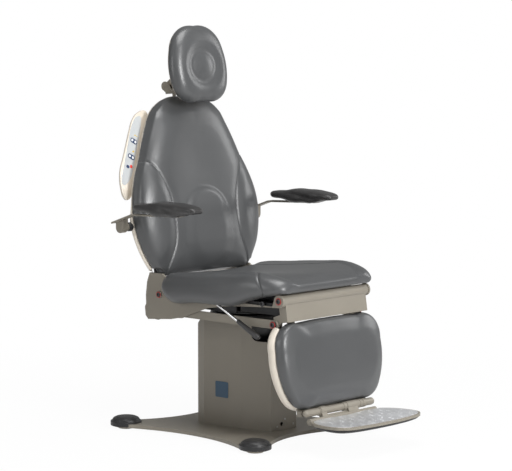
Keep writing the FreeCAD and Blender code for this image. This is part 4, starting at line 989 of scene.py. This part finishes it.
# %% Shells
def drawn_in(piece, place, middle, amount, along, depth):
    """Draw a shell's rear towards a middle: amount where u is past along and v past depth."""
    points = points_of(piece.data)
    local = in_place(points, place)
    share = amount * ease(local[:, 2], *along) * ease(local[:, 1], *depth)
    gap = local[:, [0, 2]] - np.array(middle)
    pull = gap / np.linalg.norm(gap, axis=1, keepdims=True) * share[:, None]
    shift = np.stack([-pull[:, 0], 0 * share, -pull[:, 1]], axis=1)
    set_points(piece.data, points + turned_by(shift, place))


back_shell = dressed("back_shell", 0.0008, 2, 40)
drawn_in(back_shell, BACK, (0, 0.36), 0.024, (0.25, 0.36), (0.010, 0.030))
head_shell = dressed("headrest_shell", 0.0008, 2, 40)
drawn_in(head_shell, BACK, (0, 0.80), 0.016, (0.5, 0.6), (-0.090, -0.076))
dressed("legrest_shell", 0.0012, 3, 40)

# %% [markdown]
# ### Control pods
#
# A pod sits behind each upper wing of the back. Its outline is a smooth curve through a few
# points of the drawing. One ring of edges is pulled back through several such outlines, first
# outwards for the round of the rim and then inwards to where the CAD shell is. The shell that
# is shown was drawn in further, so a gap of about two millimetres stays between the two.

# %% Pods and keypads
half_width, low, tall = 0.308, 0.060, 0.640
pod_outer = [(0.464, 0.931), (0.6, 0.926), (0.695, 0.885), (0.752, 0.838), (0.836, 0.756),
             (0.919, 0.675), (0.979, 0.62), (1.006, 0.567), (1.007, 0.512), (0.988, 0.468),
             (0.945, 0.448)]
pod_inner = [(0.86, 0.47), (0.74, 0.58), (0.58, 0.74), (0.45, 0.88)]
pod_steps = [(0.042, 0.004), (0.0432, 0.0012), (0.0455, 0), (0.048, 0.0005), (0.053, 0.009),
             (0.060, 0.038), (0.066, 0.085)]
pad_shares = [(0.562, 0.903), (0.626, 0.905), (0.692, 0.877), (0.753, 0.831), (0.821, 0.755),
              (0.945, 0.614), (0.99, 0.561), (0.987, 0.54), (0.962, 0.53), (0.928, 0.535),
              (0.864, 0.557), (0.805, 0.6), (0.701, 0.716), (0.568, 0.872)]


def share_line(shares, side, depth, count):
    """A smooth closed outline through places given as shares of the back."""
    return smooth_line([(side * x * half_width, depth, low + z * tall) for x, z in shares], count, True)


def ringed(rings_of_points, place):
    """Pull one ring of edges out through others and close both ends."""
    bm = bmesh.new()
    loop = [bm.verts.new(p) for p in rings_of_points[0]]
    edges = [bm.edges.new((a, b)) for a, b in zip(loop, loop[1:] + loop[:1])]
    bm.faces.new(loop)
    for ring in rings_of_points[1:]:
        order = {tuple(np.round(v.co, 7)): i for i, v in enumerate(loop)}
        geom = bmesh.ops.extrude_edge_only(bm, edges=edges)["geom"]
        fresh = [v for v in geom if isinstance(v, bmesh.types.BMVert)]
        fresh.sort(key=lambda v: order[tuple(np.round(v.co, 7))])
        for vertex, point in zip(fresh, ring):
            vertex.co = point
        loop = fresh
        edges = [bm.edges.get((a, b)) for a, b in zip(loop, loop[1:] + loop[:1])]
    bm.faces.new(loop)
    bmesh.ops.transform(bm, matrix=place, verts=bm.verts)
    return bm


for side, name in sides:
    pod_rings = []
    for depth, inset in pod_steps:
        pod_shares = [(x - inset, z) for x, z in pod_outer] + pod_inner
        pod_rings.append(share_line(pod_shares, side, depth, 96))
    show("pod_shell_" + name, ringed(pod_rings, BACK), "back", "cream_plastic", ("pod_" + name,), sharp=60)
    pad_rings = [share_line(pad_shares, side, depth, 90) for depth in (0.0405, 0.043)]
    show("keypad_face_" + name, ringed(pad_rings, BACK), "back", "membrane", ("keypad_" + name,),
         0.0004, 2, 50)

# %% Keys


def round_bar(length, width, thick, front):
    """A bar with round ends, its face at front."""
    bm = bmesh.new()
    bmesh.ops.create_circle(bm, cap_ends=True, segments=28, radius=width / 2)
    for vertex in bm.verts:
        vertex.co.x += math.copysign((length - width) / 2, vertex.co.x)
    bmesh.ops.rotate(bm, verts=bm.verts, matrix=Matrix.Rotation(math.pi / 2, 3, "X"))
    pulled_out(bm, bm.faces, (0, thick, 0))
    bmesh.ops.translate(bm, verts=bm.verts, vec=(0, front, 0))
    return bm


key_sizes = {"back_key": ((0.7245, 0.7703), 0.034, 0.017), "lift_key": ((0.7955, 0.6844), 0.034, 0.017),
             "return_key": ((0.8701, 0.6313), 0.015, 0.011)}
for side, name in sides:
    for key, (share, length, width) in key_sizes.items():
        spot = Matrix.Translation((side * share[0] * half_width, 0, low + share[1] * tall))
        turn = Matrix.Rotation(math.radians(-side * 30), 4, "Y")
        bar = round_bar(length, width, 0.002, 0.0397)
        bmesh.ops.transform(bar, matrix=BACK @ spot @ turn, verts=bar.verts)
        body = f"{key}_{name}"
        show(body + "_cap", bar, body, "key_blue", (body,), 0.0005, 3, 40)
        if key != "return_key":
            dots = []
            for end in (-1, 1):
                dot = round_bar(0.0105, 0.0095, 0.0004, 0.03955)
                bmesh.ops.translate(dot, verts=dot.verts, vec=(end * 0.0082, 0, 0))
                bmesh.ops.transform(dot, matrix=BACK @ spot @ turn, verts=dot.verts)
                dots.append(dot)
            show(body + "_ovals", gathered(*dots), body, "membrane", (), 0.0, 2, 40,
                 looks["key_white"])
print("pods and keys made")

# %% [markdown]
# ## Armrests
#
# A flat cranked bar carries a moulded pad, and a block under the bar turns on a shaft. The
# pad is one self skinned moulding: domed on top, with a scoop that sweeps along its side and
# leaves a thick rounded nose.

# %% Armrest pads
pad_x, pad_rear, pad_length, pad_bottom = 0.356, 0.1819, 0.298, 0.7895
scoop_depth = 0.0036


def shape_pad(mesh, side):
    """Sweep a scoop along the side of the pad, deepest at its middle."""
    points = points_of(mesh)
    normals = normals_of(mesh)
    along = (pad_rear - points[:, 1]) / pad_length
    height = points[:, 2] - pad_bottom
    line = 0.034 - 0.023 * ease(along, 0.25, 0.92)
    near = np.exp(-((height - line) / 0.009) ** 2)
    lengthwise = ease(along, 0.12, 0.4) * (1 - ease(along, 0.88, 0.98))
    facing = ease(np.abs(normals[:, 0]), 0.25, 0.8)
    move = scoop_depth * near * lengthwise * facing
    points[:, 0] -= np.sign(points[:, 0] - side * pad_x) * move
    set_points(mesh, points)


for side, name in sides:
    skin = even_skin("pad_" + name, 0.003, 26)
    shape_pad(skin, side)
    piece = show_mesh("armrest_pad_" + name, finer(skin), "arm_" + name, "dark_urethane",
                      ("pad_" + name,), sharp=180)

# %% Collars on the back where the armrest shafts come out
shaft_behind, shaft_up = 0.0286, 0.251
arm_place = BACK @ Vector((0, shaft_behind, shaft_up))
collar = [(280, 10.2), (280, 16), (316, 16), (319, 15), (320, 13), (320, 10.2)]
show("arm_collar_pieces",
     gathered(*[turned(collar, (0, arm_place.y, arm_place.z), (s, 0, 0), 40) for s in (-1, 1)]),
     "back", "black_steel", ("arm_collars",), 0.0006, 2, 30)

# %% [markdown]
# ## Brake lever
#
# A thin chrome rod leaves the side rail and ends in a dark rounded grip. The rod, the hub
# that it turns on, the pin in the hub and the grip are all spun.

# %% Lever and grip
slope = math.radians(27)
lever_way = Vector((0, -math.cos(slope), -math.sin(slope)))
lever_start = Vector((-0.245, -0.080, 0.492))
rod_profile = [(0, 0), (0, 5), (178, 5), (178, 0)]
hub_profile = [(-7, 0), (-7, 9.5), (-5.5, 11), (5.5, 11), (7, 9.5), (7, 0)]
pin_profile = [(0, 0), (0, 5), (23, 5), (23, 0)]
show("lever_rod",
     gathered(turned(rod_profile, lever_start, lever_way, 32),
              turned(hub_profile, lever_start, (1, 0, 0), 32),
              turned(pin_profile, lever_start, (1, 0, 0), 24)),
     "brake_lever", slot_of["brake_lever"], ("brake_lever",), 0.0006, 2, 30)
grip_from = 0.128
grip_profile = [(0, 5.1), (0, 7.2), (1.5, 8), (6, 8.2), (30, 8.6), (60, 9.6), (85, 10.4),
                (98, 10.5), (104, 9.6), (108.5, 7), (110.4, 3.5), (110.8, 0)]
show("lever_grip", turned(grip_profile, lever_start + lever_way * grip_from, lever_way, 40),
     "brake_lever", slot_of["brake_grip"], ("brake_grip",), 0.0, 2, 50)

# %% [markdown]
# ## Footrest
#
# The footplate hangs from a rod with domed ends, rings and knuckles. Its tray has a bright
# aluminium tread with a raised pattern, and a dark ribbed moulding underneath.

# %% Upper rod with its rings


def along_x(profile):
    """Turned on the footrest's upper rod."""
    return turned(profile, (0, *rod_place), (1, 0, 0), 40)


rod_ends = [(-184, 0), (-183.5, 4.2), (-181.2, 8.6), (-177, 11.8), (-171.5, 13), (171.5, 13),
            (177, 11.8), (181.2, 8.6), (183.5, 4.2), (184, 0)]
rings = [along_x([(a, 12.5), (a, 14), (a + 1, 15), (b - 1, 15), (b, 14), (b, 12.5)])
         for a, b in ((-111.4, -106.4), (-79.6, -74.6), (16, 31.6), (84.4, 100), (102, 117), (119, 134))]
show("footrest_rod_piece", gathered(along_x(rod_ends), *rings), "legrest", "taupe_paint",
     ("footrest_rod",), 0.0, 2, 40)

# %% Tread with raised ovals
tray_half_width, tray_rear, tray_deep = 0.223, -0.031, 0.202
tray_shares = [(0.8, 0.0), (0.91, 0.12), (0.98, 0.33), (1.0, 0.56), (0.97, 0.74), (0.87, 0.86),
               (0.66, 0.94), (0.35, 0.985), (0.0, 1.0)]


def tray_line(inset, count=120):
    """The footplate's outline at z 0, drawn in by inset, as an even closed line."""
    wide = tray_half_width - inset
    rear = tray_rear - inset
    deep = tray_deep - 2 * inset
    right = [(x * wide, rear - y * deep, 0) for x, y in tray_shares]
    left = [(-x, y, 0) for x, y, _ in reversed(right[:-1])]
    return smooth_line([(0, rear, 0), *right, *left], count, True)


def flat_slab(line, low_z, high_z, place):
    """A filled outline with a thickness."""
    bm = bmesh.new()
    face = bm.faces.new([bm.verts.new((x, y, high_z)) for x, y, _ in line])
    pulled_out(bm, [face], (0, 0, low_z - high_z))
    bmesh.ops.transform(bm, matrix=place, verts=bm.verts)
    return bm


tread_low, tread_high = -0.0240, -0.0214
tread = flat_slab(tray_line(0.0074), tread_low, tread_high, FOOT)
bumps = bmesh.new()
first_row = -0.049
pitch_x, pitch_y = 0.026, 0.0225
oval_size = Matrix.Diagonal((0.0068, 0.0024, 0.0006, 1))
inside = tray_line(0.022, 60)
for row in range(8):
    for column in range(-9, 10):
        x = (column + 0.5 * (row % 2)) * pitch_x
        y = first_row - row * pitch_y
        reach = np.abs(inside[np.abs(inside[:, 1] - y) < pitch_y * 0.53][:, 0])
        if len(reach) and abs(x) < reach.max() and y > inside[:, 1].min():
            turn = Matrix.Rotation(math.radians(45 if (row + column) % 2 else -45), 4, "Z")
            spot = Matrix.Translation((x, y, tread_high))
            bmesh.ops.create_uvsphere(bumps, u_segments=10, v_segments=6, radius=1,
                                      matrix=FOOT @ spot @ turn @ oval_size)
show("footplate_tread_piece", gathered(tread, bumps), "footplate", "tread_aluminium",
     ("footplate_tread",), 0.0009, 3, 40)

# %% Ribbed underside
rib_steps = [(-32.0, 4.5), (-33.3, 4), (-35.6, 4.8), (-36.1, 6.6), (-36.7, 6.2), (-39.2, 8.6),
             (-39.7, 10.8), (-40.3, 10.6), (-42.4, 15), (-43.0, 18), (-43.6, 18.2), (-45.5, 25),
             (-46.1, 29), (-46.8, 30), (-48.4, 38), (-49.3, 46), (-50.0, 56)]
under_rings = [tray_line(inset * mm) + np.array([0, 0, z * mm]) for z, inset in rib_steps]
show("footplate_underside_piece", ringed(under_rings, FOOT), "footplate",
     slot_of["footplate_underside"], ("footplate_underside",), 0.0, 2, 30)
print("footrest made")

# %% [markdown]
# ## Plate on the column
#
# A small plate on the side of the column stays plain. It follows the slight taper of the
# side, and its corners are round.

# %% Plain plate


def column_side(y):
    """X of the column's right side at a depth."""
    return -0.090 - 0.005 * (y + 0.067) / 0.177


plate_y, plate_z = 0.025, 0.152
plate_wide, plate_tall, plate_thick, plate_corner = 0.060, 0.057, 0.0012, 0.005
plate_bm = bmesh.new()
bmesh.ops.create_grid(plate_bm, x_segments=1, y_segments=1, size=0.5)
bmesh.ops.scale(plate_bm, verts=plate_bm.verts, vec=(plate_wide, plate_tall, 1))
bmesh.ops.bevel(plate_bm, geom=list(plate_bm.verts), offset=plate_corner, offset_type="OFFSET", segments=6,
                profile=0.5, affect="VERTICES", material=-1)
pulled_out(plate_bm, plate_bm.faces, (0, 0, plate_thick))
for vertex in plate_bm.verts:
    across, up, out = vertex.co
    vertex.co = (column_side(plate_y + across) - out, plate_y + across, plate_z + up)
show("column_plate", plate_bm, "base", "badge", ("badge_plate",), 0.0003, 2, 40)

# %% [markdown]
# ## Studio
#
# A white floor runs past the horizon, so it is also the backdrop. A large softbox stands in
# front of the chair, another hangs above it, and weak ones fill both sides. What the camera
# sees of the floor and the world is close to white, shiny surfaces see less of it, and the
# light on the chair stays at a plain level.

# %% Floor


def two_shaders(tree, amount, first, second, output):
    """Mix two shaders by an amount into an output node."""
    blend = add_node(tree, "MixShader")
    join(tree, (amount, blend.inputs["Fac"]), (first.outputs[0], blend.inputs[1]),
         (second.outputs[0], blend.inputs[2]),
         (blend.outputs[0], tree.nodes[output].inputs["Surface"]))


floor_bm = bmesh.new()
bmesh.ops.create_grid(floor_bm, x_segments=1, y_segments=1, size=60)
floor_mesh = mesh_of("floor", floor_bm)
floor = linked("floor", floor_mesh)
floor_look = bpy.data.materials.new("studio_floor")
floor_look.use_nodes = True
tree = floor_look.node_tree
matt = tree.nodes["Principled BSDF"]
matt.inputs["Base Color"].default_value = (0.86, 0.86, 0.86, 1)
matt.inputs["Roughness"].default_value = 0.7
glow = add_node(tree, "Emission", Strength=1.0)
seen = add_node(tree, "LightPath")
glossy_share = maths(tree, "MULTIPLY", seen.outputs["Is Glossy Ray"], 0.4)
both = maths(tree, "MAXIMUM", seen.outputs["Is Camera Ray"], glossy_share)
spot = add_node(tree, "TexCoord")
away = add_node(tree, "VectorMath")
away.operation = "LENGTH"
fade = add_node(tree, "MapRange", From_Min=0.7, From_Max=2.2, To_Min=0.96, To_Max=1.0)
join(tree, (spot.outputs["Object"], away.inputs[0]), (away.outputs["Value"], fade.inputs["Value"]))
two_shaders(tree, maths(tree, "MULTIPLY", both, fade.outputs["Result"]), matt, glow, "Material Output")
floor_mesh.materials.append(floor_look)

# %% World
world = bpy.data.worlds.new("studio_world")
scene.world = world
world.use_nodes = True
tree = world.node_tree
soft = tree.nodes["Background"]
soft.inputs["Color"].default_value = (1, 1, 1, 1)
soft.inputs["Strength"].default_value = 0.22
bright = add_node(tree, "Background", Color=(1, 1, 1, 1), Strength=1.0)
seen = add_node(tree, "LightPath")
clear = maths(tree, "MAXIMUM", seen.outputs["Is Camera Ray"], seen.outputs["Is Transmission Ray"])
glossy_share = maths(tree, "MULTIPLY", seen.outputs["Is Glossy Ray"], 0.1)
two_shaders(tree, maths(tree, "MAXIMUM", clear, glossy_share), soft, bright, "World Output")

# %% Softboxes


def softbox(name, place, target, wide, tall, power):
    """A rectangular lamp at a place that faces a point."""
    lamp = bpy.data.lights.new(name, "AREA")
    lamp.shape = "RECTANGLE"
    lamp.size = wide
    lamp.size_y = tall
    lamp.energy = power
    stand = linked(name, lamp)
    stand.location = place
    stand.rotation_euler = (Vector(target) - Vector(place)).to_track_quat("-Z", "Y").to_euler()


softbox("front_box", (-0.9, -4.6, 2.3), (0, 0, 0.7), 1.3, 2.2, 185)
softbox("overhead_box", (-0.3, -0.9, 4.0), (0, 0, 0.6), 2.2, 2.2, 100)
softbox("left_box", (-4.2, 1.2, 1.9), (0, 0, 0.7), 1.2, 2.2, 28)
softbox("right_box", (4.0, -1.6, 2.0), (0, 0, 0.8), 1.2, 2.2, 36)
